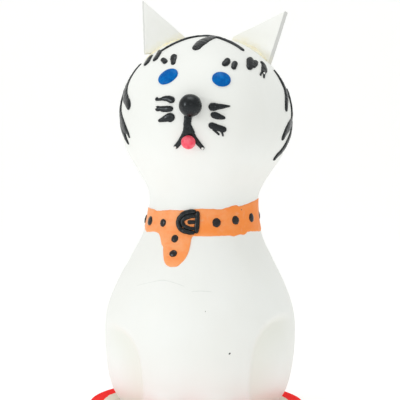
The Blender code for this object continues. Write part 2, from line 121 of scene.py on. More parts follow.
def axis_x(z):
    """How far the axis stands to the right at height z."""
    return BODY_SHIFT + (HEAD_SHIFT - BODY_SHIFT) * smooth((z - LEAN_START) / (HEAD_HEIGHT - LEAN_START))


def relief(azimuth, z):
    """What modelling adds to the turned outline in metres: haunches, front legs and paws."""
    height = z / MM
    depth = np.zeros_like(z)
    for centre, middle, half_angle, half_height in HAUNCHES:
        across = np.abs(azimuth - centre) / half_angle
        up = np.abs(height - middle) / half_height
        q = (across**HAUNCH_SQUARENESS + up**HAUNCH_SQUARENESS) ** (1 / HAUNCH_SQUARENESS)
        rim = smooth((HAUNCH_RIM[0] - q) / HAUNCH_RIM[1])
        floor = smooth((q - HAUNCH_FLOOR[0]) / HAUNCH_FLOOR[1])
        fade = smooth((HAUNCH_FADE[0] - np.abs(azimuth)) / HAUNCH_FADE[1])
        depth -= HAUNCH_DEPTH * rim * floor * fade
    for centre, half_angle in LEGS:
        across = np.clip(np.abs(azimuth - centre) / half_angle, 0, 1)
        leg = LEG_SWELL * smooth((62 - height) / 50)
        paw = PAW_SWELL * smooth((PAW_TOP - height) / 9)
        depth += (leg + paw) * np.cos(across * math.pi / 2) ** 2
    return depth * MM


def skin_radius(azimuth, z):
    """Radius of the skin at azimuths in degrees, 0 in front and 90 on the right."""
    azimuth = (azimuth + 180) % 360 - 180
    return turned_radius(z) + relief(azimuth, z)


def skin_point(azimuth, z):
    """Points on the skin, one row each."""
    azimuth, z = np.broadcast_arrays(np.asarray(azimuth, float), np.asarray(z, float))
    radius = skin_radius(azimuth, z)
    angle = np.radians(azimuth)
    return np.stack((axis_x(z) + radius * np.sin(angle), -radius * np.cos(angle), z), -1)


SETTLE_STEPS = 4
SEARCH_STEPS = 40           # halvings in a search for the skin


def clearance(p):
    """Roughly how far points are outside the skin; negative is inside."""
    x, y, z = p[..., 0] - axis_x(p[..., 2]), p[..., 1], p[..., 2]
    out = np.hypot(x, y)
    above = (np.hypot(out / HEAD_RADIUS, (z - HEAD_HEIGHT) / HEAD_RISE) - 1) * HEAD_RISE
    step = 0.5 * MM
    slope = (turned_radius(z + step) - turned_radius(z - step)) / (2 * step)
    azimuth = np.degrees(np.arctan2(x, -y))
    below = (out - skin_radius(azimuth, z)) / np.hypot(1, slope)
    return np.where(z > HEAD_HEIGHT, above, below)


def normal_at(p):
    """Outward directions of the skin near points."""
    step = 0.1 * MM
    gradient = np.stack(
        [clearance(p + step * unit) - clearance(p - step * unit) for unit in np.eye(3)], -1
    )
    return gradient / np.linalg.norm(gradient, axis=-1, keepdims=True)


def settle(p, lift):
    """Moves points, or one point, along the skin's normal until they are that far off the skin."""
    p = np.asarray(p, float)
    for _ in range(SETTLE_STEPS):
        p = p - normal_at(p) * np.asarray(clearance(p) - lift)[..., None]
    return p


def head_point(yaw, pitch):
    """Points on the skin in directions from the head's centre, in degrees."""
    yaw, pitch = np.radians(np.asarray(yaw, float)), np.radians(np.asarray(pitch, float))
    direction = np.stack(
        (np.sin(yaw) * np.cos(pitch), -np.cos(yaw) * np.cos(pitch), np.sin(pitch)), -1
    )
    near, far = np.zeros(yaw.shape), np.full(yaw.shape, 1.5 * HEAD_RADIUS)
    for _ in range(SEARCH_STEPS):
        middle = (near + far) / 2
        inside = clearance(HEAD_CENTRE + direction * middle[..., None]) < 0
        near, far = np.where(inside, middle, near), np.where(inside, far, middle)
    return HEAD_CENTRE + direction * far[..., None]


# ---------------------------------------------------------------- mesh helpers

SPLINE_STEPS = 24


def add_piece(name, points, faces, finish, replaces=()):
    """A mesh piece that rides on the figure, from rows of points in metres; its finish names its slot."""
    if name in bpy.data.objects:
        name += "_look"
    mesh = bpy.data.meshes.new(name)
    mesh.from_pydata([tuple(p) for p in points], [], faces)
    mesh.update()
    mesh.materials.append(finish)
    mesh.shade_smooth()
    piece = bpy.data.objects.new(name, mesh)
    bpy.context.scene.collection.objects.link(piece)
    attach(piece, "root")
    if replaces:
        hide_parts(*replaces)
    return piece


def mark_points(piece, name, values):
    """Stores a number for each point, which the piece's finish reads by name."""
    piece.data.attributes.new(name, "FLOAT", "POINT").data.foreach_set("value", values)


def flipped(faces):
    return [face[::-1] for face in faces]


def bridge_faces(low, high, count):
    """Quads between two rings of count points that start at low and high."""
    return [(low + k, low + (k + 1) % count, high + (k + 1) % count, high + k) for k in range(count)]


def fan_faces(start, count, apex):
    """Triangles between a ring of count points and one point."""
    return [(start + k, start + (k + 1) % count, apex) for k in range(count)]


def grid_faces(rows, columns, start=0):
    """Quads of rings of points that are stored row by row."""
    lows = [start + i * columns for i in range(rows - 1)]
    return [face for low in lows for face in bridge_faces(low, low + columns, columns)]


def capped_faces(rows, columns):
    """Quads of rings of points that are stored row by row, and a flat face over each end."""
    ends = [tuple(reversed(range(columns))), tuple((rows - 1) * columns + k for k in range(columns))]
    return grid_faces(rows, columns) + ends


def sheet_faces(index):
    """Quads of an open grid, from the place of each of its points."""
    quads = np.stack((index[:-1, :-1], index[:-1, 1:], index[1:, 1:], index[1:, :-1]), -1)
    return quads.reshape(-1, 4).tolist()


def spline(points, count):
    """Catmull-Rom curve through rows of numbers, resampled to count rows of even spacing, and its length."""
    points = np.asarray(points, float)
    dense = []
    for i in range(len(points) - 1):
        a, b, c, d = (points[min(max(i + k, 0), len(points) - 1)] for k in (-1, 0, 1, 2))
        for t in np.linspace(0, 1, SPLINE_STEPS, endpoint=False):
            dense.append(0.5 * (
                2 * b + (c - a) * t + (2 * a - 5 * b + 4 * c - d) * t**2 + (3 * b - a - 3 * c + d) * t**3
            ))
    dense = np.array(dense + [points[-1]])
    length = np.concatenate(([0], np.cumsum(np.linalg.norm(np.diff(dense[:, :3], axis=0), axis=1))))
    wanted = np.linspace(0, length[-1], count)
    return np.stack([np.interp(wanted, length, column) for column in dense.T], -1), length[-1]


def wobble(points, size, seed):
    """Smooth noise between about -1 and 1 at points, with features of that size in metres."""
    shift = Vector((seed * 3.7, seed * 1.9, seed * 5.3))
    return np.array([noise.noise(Vector(p) / size + shift) for p in points])


# ---------------------------------------------------------------- raised paint

BEAD_ARC = 14               # points over a bead of paint from side to side
BEAD_STEP = 0.45 * MM       # length of one row along it
BEAD_ROOT = -0.30 * MM      # how far a bead's underside is sunk in the skin
BEAD_PROFILE = 0.75         # below 1 a bead's sides are steeper than a half circle's
FULL_HALF_WIDTH = 1.5 * MM  # a bead this wide or wider stands at its full height


def bead_rings(anchors, height, seed, ground):
    """Closed skin of a bead of paint: points and faces. Anchors are (x, y, z, half width) on the skin."""
    anchors = np.array(anchors, float)
    count = max(10, int(spline(anchors, 4)[1] / BEAD_STEP))
    line, length = spline(anchors, count)
    centre, half = settle(line[:, :3], ground), np.abs(line[:, 3])
    from_end = np.minimum(np.linspace(0, length, count), np.linspace(length, 0, count))
    reach = np.clip(from_end / np.maximum(half, 0.4 * MM), 0, 1)
    half = half * np.sqrt(np.clip(1 - (1 - reach) ** 2, 0.02, 1))
    half = half * (1 + 0.10 * wobble(centre, 1.6 * MM, seed))
    along = np.gradient(centre, axis=0)
    side = np.cross(along / np.linalg.norm(along, axis=1, keepdims=True), normal_at(centre))
    side /= np.linalg.norm(side, axis=1, keepdims=True)
    crest = height * np.clip(half / FULL_HALF_WIDTH, 0.25, 1) ** 0.6
    crest = crest * (1 + 0.16 * wobble(centre, 2.2 * MM, seed + 11))
    arc = np.linspace(0, math.pi, BEAD_ARC)
    rise = np.sin(arc) ** BEAD_PROFILE

    def across(shares):
        return centre[:, None] + side[:, None] * (half[:, None] * shares)[..., None]

    top = settle(across(np.cos(arc)), ground + crest[:, None] * rise + np.where(rise < 1e-6, BEAD_ROOT, 0))
    under = settle(across(np.array((-0.5, 0.5))), ground + BEAD_ROOT)
    rings = np.concatenate((top, under), 1)
    return rings.reshape(-1, 3), flipped(capped_faces(count, rings.shape[1]))


def join_meshes(meshes):
    """Points and faces of several (points, faces) as one."""
    points, faces = [], []
    for more, more_faces in meshes:
        faces += [tuple(v + len(points) for v in face) for face in more_faces]
        points += list(more)
    return points, faces


def paint_piece(name, runs, height, finish, replaces=None, ground=0.0):
    """One named mark of raised paint made of one or more beads; it replaces the node of its name."""
    beads = [bead_rings(run, height, len(name) + 5 * k, ground) for k, run in enumerate(runs)]
    points, faces = join_meshes(beads)
    return add_piece(name, points, faces, finish, (name,) if replaces is None else replaces)


# ---------------------------------------------------------------- materials

class Look:
    """A Principled material and short ways to add nodes to it. Sizes of features are in metres."""

    def __init__(self, name, color, roughness, **sockets):
        self.material = bpy.data.materials.new(name)
        self.material.use_nodes = True
        self.tree = self.material.node_tree
        self.shader = self.tree.nodes["Principled BSDF"]
        self.shader.inputs["Base Color"].default_value = (*color, 1)
        self.shader.inputs["Roughness"].default_value = roughness
        for socket, value in sockets.items():
            self.shader.inputs[socket.replace("_", " ")].default_value = value

    def node(self, kind, **inputs):
        """New node; each input is a socket to link or a value, its name with _ for a space."""
        node = self.tree.nodes.new("ShaderNode" + kind)
        for name, value in inputs.items():
            self.feed(node.inputs[name.replace("_", " ")], value)
        return node

    def feed(self, slot, value):
        if isinstance(value, bpy.types.NodeSocket):
            self.tree.links.new(value, slot)
        else:
            slot.default_value = value

    def place(self):
        return self.node("TexCoord").outputs["Object"]

    def noise(self, size, detail=3.0, roughness=0.55, stretch=(1, 1, 1), distortion=0.0):
        """Noise with features of that size, squeezed along the axes by stretch; about 0.3 to 0.7."""
        place = self.node("Mapping", Scale=stretch, Vector=self.place())
        return self.node(
            "TexNoise", Scale=1 / size, Detail=detail, Roughness=roughness, Distortion=distortion,
            Vector=place.outputs["Vector"],
        ).outputs["Fac"]

    def spread(self, value, low, high, to_low=0.0, to_high=1.0):
        """Maps low..high to to_low..to_high."""
        return self.node(
            "MapRange", From_Min=low, From_Max=high, To_Min=to_low, To_Max=to_high, Value=value
        ).outputs["Result"]

    def patches(self, size, detail, low, high):
        """Noise of that size that runs from low to high."""
        return self.spread(self.noise(size, detail), 0.3, 0.7, low, high)

    def blend(self, factor, first, second):
        """Mix of two colours; each is a socket or a colour."""
        node = self.tree.nodes.new("ShaderNodeMix")
        node.data_type = "RGBA"
        sides = {s.identifier: s for s in node.inputs}
        self.feed(sides["Factor_Float"], factor)
        for key, value in (("A_Color", first), ("B_Color", second)):
            self.feed(sides[key], (*value, 1) if isinstance(value, tuple) else value)
        return {s.identifier: s for s in node.outputs}["Result_Color"]

    def calculate(self, operation, first, second):
        node = self.tree.nodes.new("ShaderNodeMath")
        node.operation = operation
        self.feed(node.inputs[0], first)
        self.feed(node.inputs[1], second)
        return node.outputs["Value"]

    def marked(self, name):
        """What mark_points stored under that name."""
        node = self.tree.nodes.new("ShaderNodeAttribute")
        node.attribute_name = name
        return node.outputs["Fac"]

    def finish(self, color, roughness, *bumps):
        """Links colour and roughness, and a chain of bumps from (height, distance in metres, strength)."""
        self.feed(self.shader.inputs["Base Color"], color)
        self.feed(self.shader.inputs["Roughness"], roughness)
        before = None
        for height, distance, strength in bumps:
            node = self.node("Bump", Distance=distance, Strength=strength, Height=height)
            if before:
                self.feed(node.inputs["Normal"], before)
            before = node.outputs["Normal"]
        self.feed(self.shader.inputs["Normal"], before)
        return self.material


def enamel_material():
    """Thick white enamel brushed over paper: soft brush marks, lumps, and painted shade, darker and yellower
    in the haunch hollows.
    """
    look = Look("white_enamel", (0.9, 0.905, 0.885), 0.4, Specular_IOR_Level=0.3)
    cloud = look.spread(look.noise(60 * MM, 2), 0.35, 0.65)
    fresh = look.blend(cloud, (0.905, 0.915, 0.90), (0.885, 0.89, 0.865))
    strokes = look.noise(5 * MM, 2, 0.5, (1, 1, 0.2))
    brushed = look.blend(look.spread(strokes, 0.45, 0.8, 0, 0.05), fresh, (0.80, 0.805, 0.77))
    # painted shade: the enamel turns darker and yellower with the depth of the haunch hollows
    hollow_shade = look.calculate("MULTIPLY", look.marked("hollow"), 0.55)
    return look.finish(
        look.blend(hollow_shade, brushed, (0.84, 0.845, 0.765)), look.patches(12 * MM, 3, 0.40, 0.52),
        (look.noise(14 * MM, 2), 0.5 * MM, 0.25), (strokes, 0.15 * MM, 0.15),
    )


def relief_paint_material(name, dark, light, roughness, gloss=0.42):
    """Thick dried paint: an uneven skin with faint wrinkles."""
    look = Look(name, dark, roughness, Specular_IOR_Level=gloss, Specular_Tint=(0.88, 0.95, 1.0, 1))
    return look.finish(
        look.blend(look.spread(look.noise(3 * MM, 4), 0.35, 0.7), dark, light),
        look.patches(1.8 * MM, 4, roughness - 0.07, roughness + 0.12),
        (look.noise(2.8 * MM, 2), 0.20 * MM, 0.30), (look.noise(0.8 * MM, 2), 0.05 * MM, 0.16),
    )


def strap_material():
    """Orange paint brushed on a paper strip, thin in places, with a few darker strokes, and painted light:
    lighter towards the left, the side the key lamp lights.
    """
    look = Look("orange_strap", (0.93, 0.33, 0.12), 0.5, Specular_IOR_Level=0.2)
    parts = look.node("SeparateXYZ", Vector=look.place())
    # painted light: the orange runs lighter towards the left, the lit side
    painted_light_left = look.spread(parts.outputs["X"], 25 * MM, -45 * MM)
    uneven = look.spread(look.noise(12 * MM, 3, 0.6), 0.3, 0.7, -0.35, 0.35)
    base = look.blend(look.calculate("ADD", painted_light_left, uneven), (1.0, 0.30, 0.065), (1.0, 0.44, 0.205))
    strokes = look.spread(look.noise(5 * MM, 4, 0.65, (1, 1, 2.4), 0.6), 0.52, 0.78)
    thin = look.spread(look.noise(7 * MM, 3, 0.6, (1.4, 1.4, 1), 0.4), 0.60, 0.82)
    return look.finish(
        look.blend(thin, look.blend(strokes, base, (1.0, 0.26, 0.06)), (0.97, 0.45, 0.24)),
        look.patches(4 * MM, 3, 0.45, 0.62),
        (look.noise(6 * MM, 3), 0.30 * MM, 0.35),
        (look.noise(0.9 * MM, 3, 0.6, (1, 1, 2.5)), 0.08 * MM, 0.35),
    )


def card_material():
    """White painted card, greyer over its edges, and glue that has soaked in and yellowed near the head."""
    look = Look("white_card", (0.88, 0.885, 0.86), 0.62)
    away = look.tree.nodes.new("ShaderNodeVectorMath")
    away.operation = "DISTANCE"
    away.inputs[1].default_value = tuple(HEAD_CENTRE)
    look.feed(away.inputs[0], look.place())
    ragged = look.calculate("ADD", away.outputs["Value"], look.patches(6 * MM, 4, -3.5 * MM, 3.5 * MM))
    soaked = look.spread(ragged, HEAD_RADIUS - 2 * MM, HEAD_RADIUS + 4 * MM, 0.40, 0.0)
    cloud = look.spread(look.noise(20 * MM, 3), 0.35, 0.65)
    clean = look.blend(cloud, (0.935, 0.938, 0.918), (0.915, 0.918, 0.888))
    # greyer over the rounded edges of the plate
    faced = look.blend(look.marked("rim"), clean, (0.70, 0.705, 0.69))
    return look.finish(
        look.blend(soaked, faced, (0.90, 0.84, 0.62)), look.patches(8 * MM, 3, 0.5, 0.7),
        (look.noise(11 * MM, 2), 0.5 * MM, 0.30),
        (look.noise(0.7 * MM, 3, 0.6, (1, 1, 0.3)), 0.06 * MM, 0.40),
    )


def glue_material():
    """Dried white glue, yellowed and a little clear."""
    look = Look(
        "dried_glue", (0.88, 0.81, 0.58), 0.38, Subsurface_Weight=0.25, Subsurface_Scale=2 * MM,
        Subsurface_Radius=(1.0, 0.8, 0.45),
    )
    thick = look.spread(look.noise(5 * MM, 4), 0.35, 0.68)
    return look.finish(
        look.blend(thick, (0.90, 0.87, 0.72), (0.88, 0.80, 0.55)), look.patches(3 * MM, 3, 0.30, 0.52),
        (look.noise(2.5 * MM, 4), 0.5 * MM, 0.5),
    )


RING_INNER = 64.0 * MM      # where the board's red rim begins
RING_EDGE = 0.25 * MM       # half the width over which red turns to beige


def board_material():
    """Beige painted board with a red ring brushed round its rim by hand, and a bare underside."""
    look = Look("painted_board", (0.72, 0.66, 0.55), 0.8, Specular_IOR_Level=0.04)
    parts = look.node("SeparateXYZ", Vector=look.place())
    flat = look.node("CombineXYZ", X=parts.outputs["X"], Y=parts.outputs["Y"])
    length = look.node("VectorMath", Vector=flat.outputs["Vector"])
    length.operation = "LENGTH"
    wavy = look.calculate("ADD", length.outputs["Value"], look.patches(10 * MM, 3, -0.7 * MM, 0.7 * MM))
    ringed = look.spread(wavy, RING_INNER - RING_EDGE, RING_INNER + RING_EDGE)
    cloud = look.spread(look.noise(18 * MM, 4), 0.35, 0.65)
    beige = look.blend(cloud, (0.86, 0.83, 0.74), (0.78, 0.72, 0.60))
    faded = look.spread(look.noise(7 * MM, 4), 0.35, 0.7)
    red = look.blend(faded, (1.0, 0.030, 0.028), (0.90, 0.022, 0.022))
    under = look.spread(parts.outputs["Z"], 0.6 * MM, 0.3 * MM)
    return look.finish(
        look.blend(under, look.blend(ringed, beige, red), (0.42, 0.31, 0.20)),
        look.patches(5 * MM, 3, 0.70, 0.90),
        (ringed, 0.12 * MM, 0.6), (look.noise(1.2 * MM, 3, 0.6, (0.25, 1, 1)), 0.10 * MM, 0.35),
    )


ENAMEL = enamel_material()
BLACK, BLACK_WORN = (0.002, 0.0024, 0.0028), (0.004, 0.005, 0.006)
PAINT = relief_paint_material("black_relief_paint", BLACK, BLACK_WORN, 0.27, 0.45)
NOSE_PAINT = relief_paint_material("black_bead", BLACK, BLACK_WORN, 0.28, 0.42)
TONGUE_PAINT = relief_paint_material("pink_bead", (0.90, 0.055, 0.105), (1.0, 0.17, 0.23), 0.36, 0.3)
EYE_PAINT = relief_paint_material("blue_relief_paint", (0.0, 0.095, 0.38), (0.0, 0.17, 0.55), 0.26, 0.1)
STUD_PAINT = relief_paint_material("stud_paint", (0.008, 0.003, 0.002), (0.016, 0.009, 0.008), 0.24, 0.5)
SPECK = relief_paint_material("speck", (0.05, 0.055, 0.05), (0.12, 0.12, 0.11), 0.6)
PALE_SPECK = relief_paint_material("pale_speck", (0.34, 0.35, 0.33), (0.50, 0.51, 0.48), 0.6)
FAINT_LINE = relief_paint_material("faint_line", (0.78, 0.79, 0.77), (0.86, 0.87, 0.85), 0.6)
STRAP = strap_material()
CARD = card_material()
GLUE = glue_material()
BOARD = board_material()


# ---------------------------------------------------------------- skin

NECK_JOINT = 133.0 * MM     # where the head and body shells meet, under the collar
WALL = 2.8 * MM
SECTORS = 288
ROW_STEP = 1.1 * MM
LUMP_HEIGHT = 0.22 * MM     # papered lumps
LUMP_SIZE = 17 * MM
LUMP_FADE = 4 * MM          # the lumps grow to full height over this far above the board
INNER_ROW = 6               # rows of the skin to one row of the shell's inside


def lumps(p):
    """How far the hand-papered skin stands off its true shape at points."""
    broad = wobble(p, LUMP_SIZE, 3) * LUMP_HEIGHT
    return broad + wobble(p, LUMP_SIZE * 0.35, 5) * LUMP_HEIGHT * 0.25


def skin_grid(heights, inset):
    """Ring of points round the figure at each height, moved in from the skin along its normal."""
    azimuth = np.linspace(0, 360, SECTORS, endpoint=False)
    flat = skin_point(azimuth[None, :], heights[:, None]).reshape(-1, 3)
    if inset:
        flat = flat - normal_at(flat) * inset
        flat[:, 2] = np.repeat(heights, SECTORS)
        return flat
    fade = np.clip((flat[:, 2] - BASE_TOP) / LUMP_FADE, 0, 1)
    return flat + normal_at(flat) * (lumps(flat) * fade)[:, None]


def arc_heights(bottom, top):
    """Heights whose rings are about ROW_STEP apart along the outline."""
    z = np.linspace(bottom, top, 4000)
    length = np.concatenate(([0], np.cumsum(np.hypot(np.diff(z), np.diff(turned_radius(z))))))
    return np.interp(np.linspace(0, length[-1], int(length[-1] / ROW_STEP)), length, z)


def shell(name, bottom, top, replaces):
    """Closed hollow shell between two heights; at the crown it closes in a point."""
    crowned = top >= CROWN
    outer_heights = arc_heights(bottom, top)
    inner_heights = arc_heights(bottom, top - (WALL if crowned else 0))[::INNER_ROW]
    if crowned:
        outer_heights, inner_heights = outer_heights[:-1], inner_heights[:-1]
    else:
        inner_heights[-1] = top
    inner_heights[0] = bottom
    outer, inner = skin_grid(outer_heights, 0), skin_grid(inner_heights, WALL)
    points = np.concatenate((outer, inner))
    start, count = len(outer), len(points)
    faces = grid_faces(len(outer_heights), SECTORS) + flipped(grid_faces(len(inner_heights), SECTORS, start))
    faces += flipped(bridge_faces(0, start, SECTORS))
    if crowned:
        points = np.concatenate((points, [(axis_x(CROWN), 0, CROWN), (axis_x(CROWN), 0, CROWN - WALL)]))
        faces += fan_faces(start - SECTORS, SECTORS, count)
        faces += flipped(fan_faces(count - SECTORS, SECTORS, count + 1))
    else:
        faces += bridge_faces(start - SECTORS, count - SECTORS, SECTORS)
    made = add_piece(name, points, faces, ENAMEL, replaces)
    azimuth = np.degrees(np.arctan2(points[:, 0] - axis_x(points[:, 2]), -points[:, 1]))
    # depth of the haunch hollows, which the enamel turns into painted shade
    mark_points(made, "hollow", np.clip(-relief(azimuth, points[:, 2]) / (HAUNCH_DEPTH * MM), 0, 1))


shell("body_skin", BASE_TOP, NECK_JOINT, ("body_shell_front", "body_shell_back"))
shell("head_skin", NECK_JOINT, CROWN, ("head_shell_front", "head_shell_back"))


# ---------------------------------------------------------------- painted marks on the head

MARK_HEIGHT = 1.15 * MM

# Each mark is one or more beads of paint: yaw and pitch from the head's centre in degrees, half width in mm.
MARKS = {
    "muzzle_stem": (
        ((-11.2, 3.5, 2.6), (-11.7, -1, 2.6), (-12.1, -5.0, 2.55), (-12.1, -9.0, 2.7), (-11.9, -12.5, 2.8)),
        ((-10.6, -4.6, 0.9), (-9.4, -8.2, 1.5), (-8.4, -11.5, 1.8)),
        ((-13.4, -6.5, 0.9), (-13.7, -9, 1.3), (-14.6, -11.4, 1.5)),
    ),
    "mouth_left": (((-13.2, -9.2, 1.8), (-14.9, -12.6, 1.8), (-17.9, -16.6, 1.65), (-21.6, -20.2, 1.4)),),
    "mouth_right": (((-9.4, -9.8, 1.8), (-7.8, -13.1, 1.8), (-4.8, -16.9, 1.55), (-1.4, -20.7, 1.35)),),
    "whisker_left_upper": (
        ((-34.4, 10.9, 1.0), (-31.6, 11.0, 0.95), (-28.8, 11.5, 1.55), (-25.8, 11.5, 2.0),
         (-23.2, 10.6, 2.4),
         (-21.4, 9.2, 2.1)),
        ((-35.4, 11.5, 1.45), (-33.3, 10.9, 1.5)),
    ),
    "whisker_left_middle": (
        ((-34.6, 5.1, 1.95), (-31, 5.0, 1.7), (-28.1, 4.8, 2.0), (-25.2, 4.9, 2.1), (-21.6, 5.1, 1.6)),
    ),
    "whisker_left_lower": (
        ((-32.2, -2.9, 0.95), (-28.8, -1.9, 1.6), (-25.4, -0.8, 2.6), (-23, -0.5, 2.9), (-20.3, -0.8, 2.3)),
    ),
    "whisker_right_upper": (((1.2, 6.6, 2.4), (4.4, 6.5, 2.75), (8.6, 6.7, 1.85), (15.4, 7.0, 0.45)),),
    "whisker_right_middle": (((2.6, 2.0, 1.5), (5.6, 1.1, 2.2), (8.2, 0.3, 1.9), (12.2, -0.6, 0.8)),),
    "whisker_right_lower": (
        ((1.4, -4.5, 1.9), (5, -5.9, 2.15), (9, -7.1, 2.1), (13, -8.2, 1.85)),
        ((4.0, -7.2, 0.9), (6.4, -9.3, 0.75), (8.6, -11.3, 0.7)),
        ((9.0, -8.4, 0.7), (10.3, -10, 0.65), (11.0, -12.2, 0.55)),
    ),
    "brow_left_outer": (((-44.6, 42.0, 1.6), (-40, 40.2, 1.85), (-36.2, 37.8, 1.85)),),
    "brow_left_inner": (((-33.4, 46.0, 2.2), (-30.7, 41.2, 2.2), (-28.3, 36.2, 1.4)),),
    "brow_right_inner": (((19.4, 42.4, 1.8), (17.2, 39.2, 2.2), (13.0, 35.8, 1.7)),),
    "brow_right_outer": (((25.7, 39.6, 1.6), (23, 36.5, 1.95), (21.0, 32.9, 1.55)),),
    "temple_left_outer": (((-71, 47.0, 0.6), (-66, 41, 2.6), (-62.6, 36.6, 2.8)),),
    "temple_left_inner": (((-66, 52.0, 0.8), (-58.5, 48.3, 2.1), (-55, 44, 2.3), (-52.8, 40.2, 2.2)),),
    "temple_right_inner": (
        ((45.6, 44.2, 1.5), (42.6, 40.8, 3.3), (39.0, 37.2, 2.9), (34.6, 33.2, 1.6)),
        ((50.4, 40.6, 1.2), (46.0, 39.2, 2.6), (41.5, 37.4, 2.8), (38, 35.4, 1.6)),
    ),
    "temple_right_outer": (
        ((56.2, 41.0, 1.2), (56.8, 37.6, 2.1), (54.0, 34.4, 2.6), (50.4, 32.0, 2.1), (47.8, 30.8, 1.2)),
        ((51.6, 32.4, 1.0), (47.6, 31.2, 0.75), (44.2, 28.6, 0.7)),
        ((51, 31.0, 1.0), (48.6, 28.8, 0.75), (47.0, 26.6, 0.65)),
    ),
    "crown_stripe": (
        ((-59.5, 50.8, 0.8), (-56, 58, 1.25), (-52, 67, 1.45), (-46, 77, 1.6), (-11, 84, 1.9), (26, 79, 1.8),
         (37, 69, 1.8), (42.5, 59, 1.7), (44.8, 51.5, 1.6)),
    ),
    "crown_drop": (
        ((27, 77.0, 1.5), (10, 73.5, 2.7), (-2.5, 67.5, 3.5), (-8.6, 61.0, 3.6), (-11.6, 55.5, 3.1),
         (-12.4, 51.0, 2.4)),
    ),
    "side_stripe_left_upper": (
        ((-88, 39, 0.7), (-85.5, 30, 2.4), (-82.5, 21, 3.9), (-75, 14, 4.0), (-67.5, 10, 3.2),
         (-63.5, 7.6, 3.1),
         (-61, 4.6, 2.6)),
    ),
    "side_stripe_left_lower": (
        ((-86, 19, 2.6), (-85, 10, 2.0), (-82, 2.5, 3.0), (-77, -3.2, 4.4), (-70, -7.5, 3.8),
         (-64.4, -10.6, 1.7), (-62.4, -14.2, 0.7)),
        ((-80, -3, 3.4), (-75, -8.5, 3.2), (-70.5, -13.5, 2.1), (-67.0, -18.6, 0.7)),
    ),
    "side_stripe_right_upper": (
        ((71.5, 34, 0.7), (73.5, 26, 2.0), (75, 19, 3.2), (71.3, 13, 2.6), (68, 9, 2.3), (65.6, 4.2, 2.1)),
    ),
    "side_stripe_right_middle": (
        ((82, 20, 2.2), (84, 12, 1.7), (84, 4, 1.9), (81, -2, 3.0), (74, -5.2, 3.6), (67, -9.2, 3.1),
         (62.6, -14.6, 1.7)),
    ),
    "side_stripe_right_lower": (
        ((88, -2, 2.4), (84, -9, 3.2), (76.5, -16.2, 3.0), (69.8, -21.6, 2.5), (63.8, -25.6, 2.1),
         (61.6, -29, 1.3)),
    ),
    "nape_stripe_upper": (((150, 44, 1), (160, 47.5, 1.8), (172, 49, 2.4), (185, 47.5, 1.9), (196, 44, 1)),),
    "nape_stripe_middle": (((142, 23, 1), (156, 26.5, 1.9), (170, 28, 2.6), (186, 26, 2.0), (200, 22, 1)),),
    "nape_stripe_lower": (((150, 3, 1), (160, 5.8, 1.7), (172, 7, 2.2), (183, 5.6, 1.8), (194, 2, 1)),),
}


def head_anchors(run):
    """Anchors on the skin from (yaw, pitch, half width) rows, for bead_rings."""
    run = np.array(run, float)
    return np.column_stack((head_point(run[:, 0], run[:, 1]), run[:, 2] * MM))


for mark, runs in MARKS.items():
    paint_piece(mark, [head_anchors(run) for run in runs], MARK_HEIGHT, PAINT)


# ---------------------------------------------------------------- eyes, nose and tongue

SPOT_SECTORS = 40
SPOT_RINGS = (1.0, 0.985, 0.95, 0.89, 0.8, 0.68, 0.52, 0.34, 0.16)
SPOT_PROFILE = 0.36         # below 0.5 a spot's sides are steeper than a half ball's
SPOT_LEAST = 0.02 * MM      # no part of a spot's top is nearer to the skin


def spot(name, centre, semi, height, finish, tilt=0, replaces=None, ground=0.0, ragged=0.05):
    """Domed oval of thick paint, half sizes in mm; tilt in degrees turns its long side up to the right."""
    centre, semi = settle(centre, ground), np.array(semi, float) * MM
    normal = normal_at(centre)
    level = np.cross((0, 0, 1), normal)
    level /= np.linalg.norm(level)
    rise = np.cross(normal, level)
    turn = math.radians(tilt)
    long_way = level * math.cos(turn) + rise * math.sin(turn)
    short_way = rise * math.cos(turn) - level * math.sin(turn)
    angles = np.linspace(0, 2 * math.pi, SPOT_SECTORS, endpoint=False)
    reach = np.outer(np.cos(angles) * semi[0], long_way) + np.outer(np.sin(angles) * semi[1], short_way)
    reach = reach * (1 + ragged * wobble(centre + reach, 0.45 * semi[0], len(name)))[:, None]
    rows = [settle(centre + reach, ground + BEAD_ROOT)]
    for share in SPOT_RINGS:
        ring = centre + reach * share
        lift = height * (1 - share**2) ** SPOT_PROFILE
        lift = lift * (1 + 0.10 * wobble(ring, 0.6 * semi[0], len(name) + 4))
        rows.append(settle(ring, ground + np.maximum(lift, SPOT_LEAST)))
    points = list(np.concatenate(rows))
    top = len(points)
    points += [settle(centre, ground + height), settle(centre, ground + BEAD_ROOT)]
    faces = grid_faces(len(rows), SPOT_SECTORS) + fan_faces(top - SPOT_SECTORS, SPOT_SECTORS, top)
    faces += flipped(fan_faces(0, SPOT_SECTORS, top + 1))
    add_piece(name, points, faces, finish, (name,) if replaces is None else replaces)


# Painted highlights, white domes of enamel on the black paint where it shines: yaw, pitch, half size in mm.
PAINTED_HIGHLIGHTS = ((-20.7, -19.4, 0.8), (-2.3, -19.8, 0.8), (-33.6, 5.5, 0.55), (48.6, 30.0, 0.7))
for number, (yaw, pitch, size) in enumerate(PAINTED_HIGHLIGHTS, 1):
    spot(f"paint_bubble_{number}", head_point(yaw, pitch), (size, size), 0.4 * MM, ENAMEL, replaces=(),
         ground=1.0 * MM, ragged=0.15)

EYE_HEIGHT = 1.5 * MM
# Yaw, pitch, half sizes in mm and tilt of each eye.
EYES = {"eye_left": (-29.5, 27.0, (7.2, 5.5), 31), "eye_right": (10.5, 25.2, (6.15, 5.3), -10)}
for eye, (yaw, pitch, half_sizes, tilt) in EYES.items():
    spot(eye, head_point(yaw, pitch), half_sizes, EYE_HEIGHT, EYE_PAINT, tilt, ragged=0.03)

BALL_RINGS, BALL_SECTORS = 36, 48


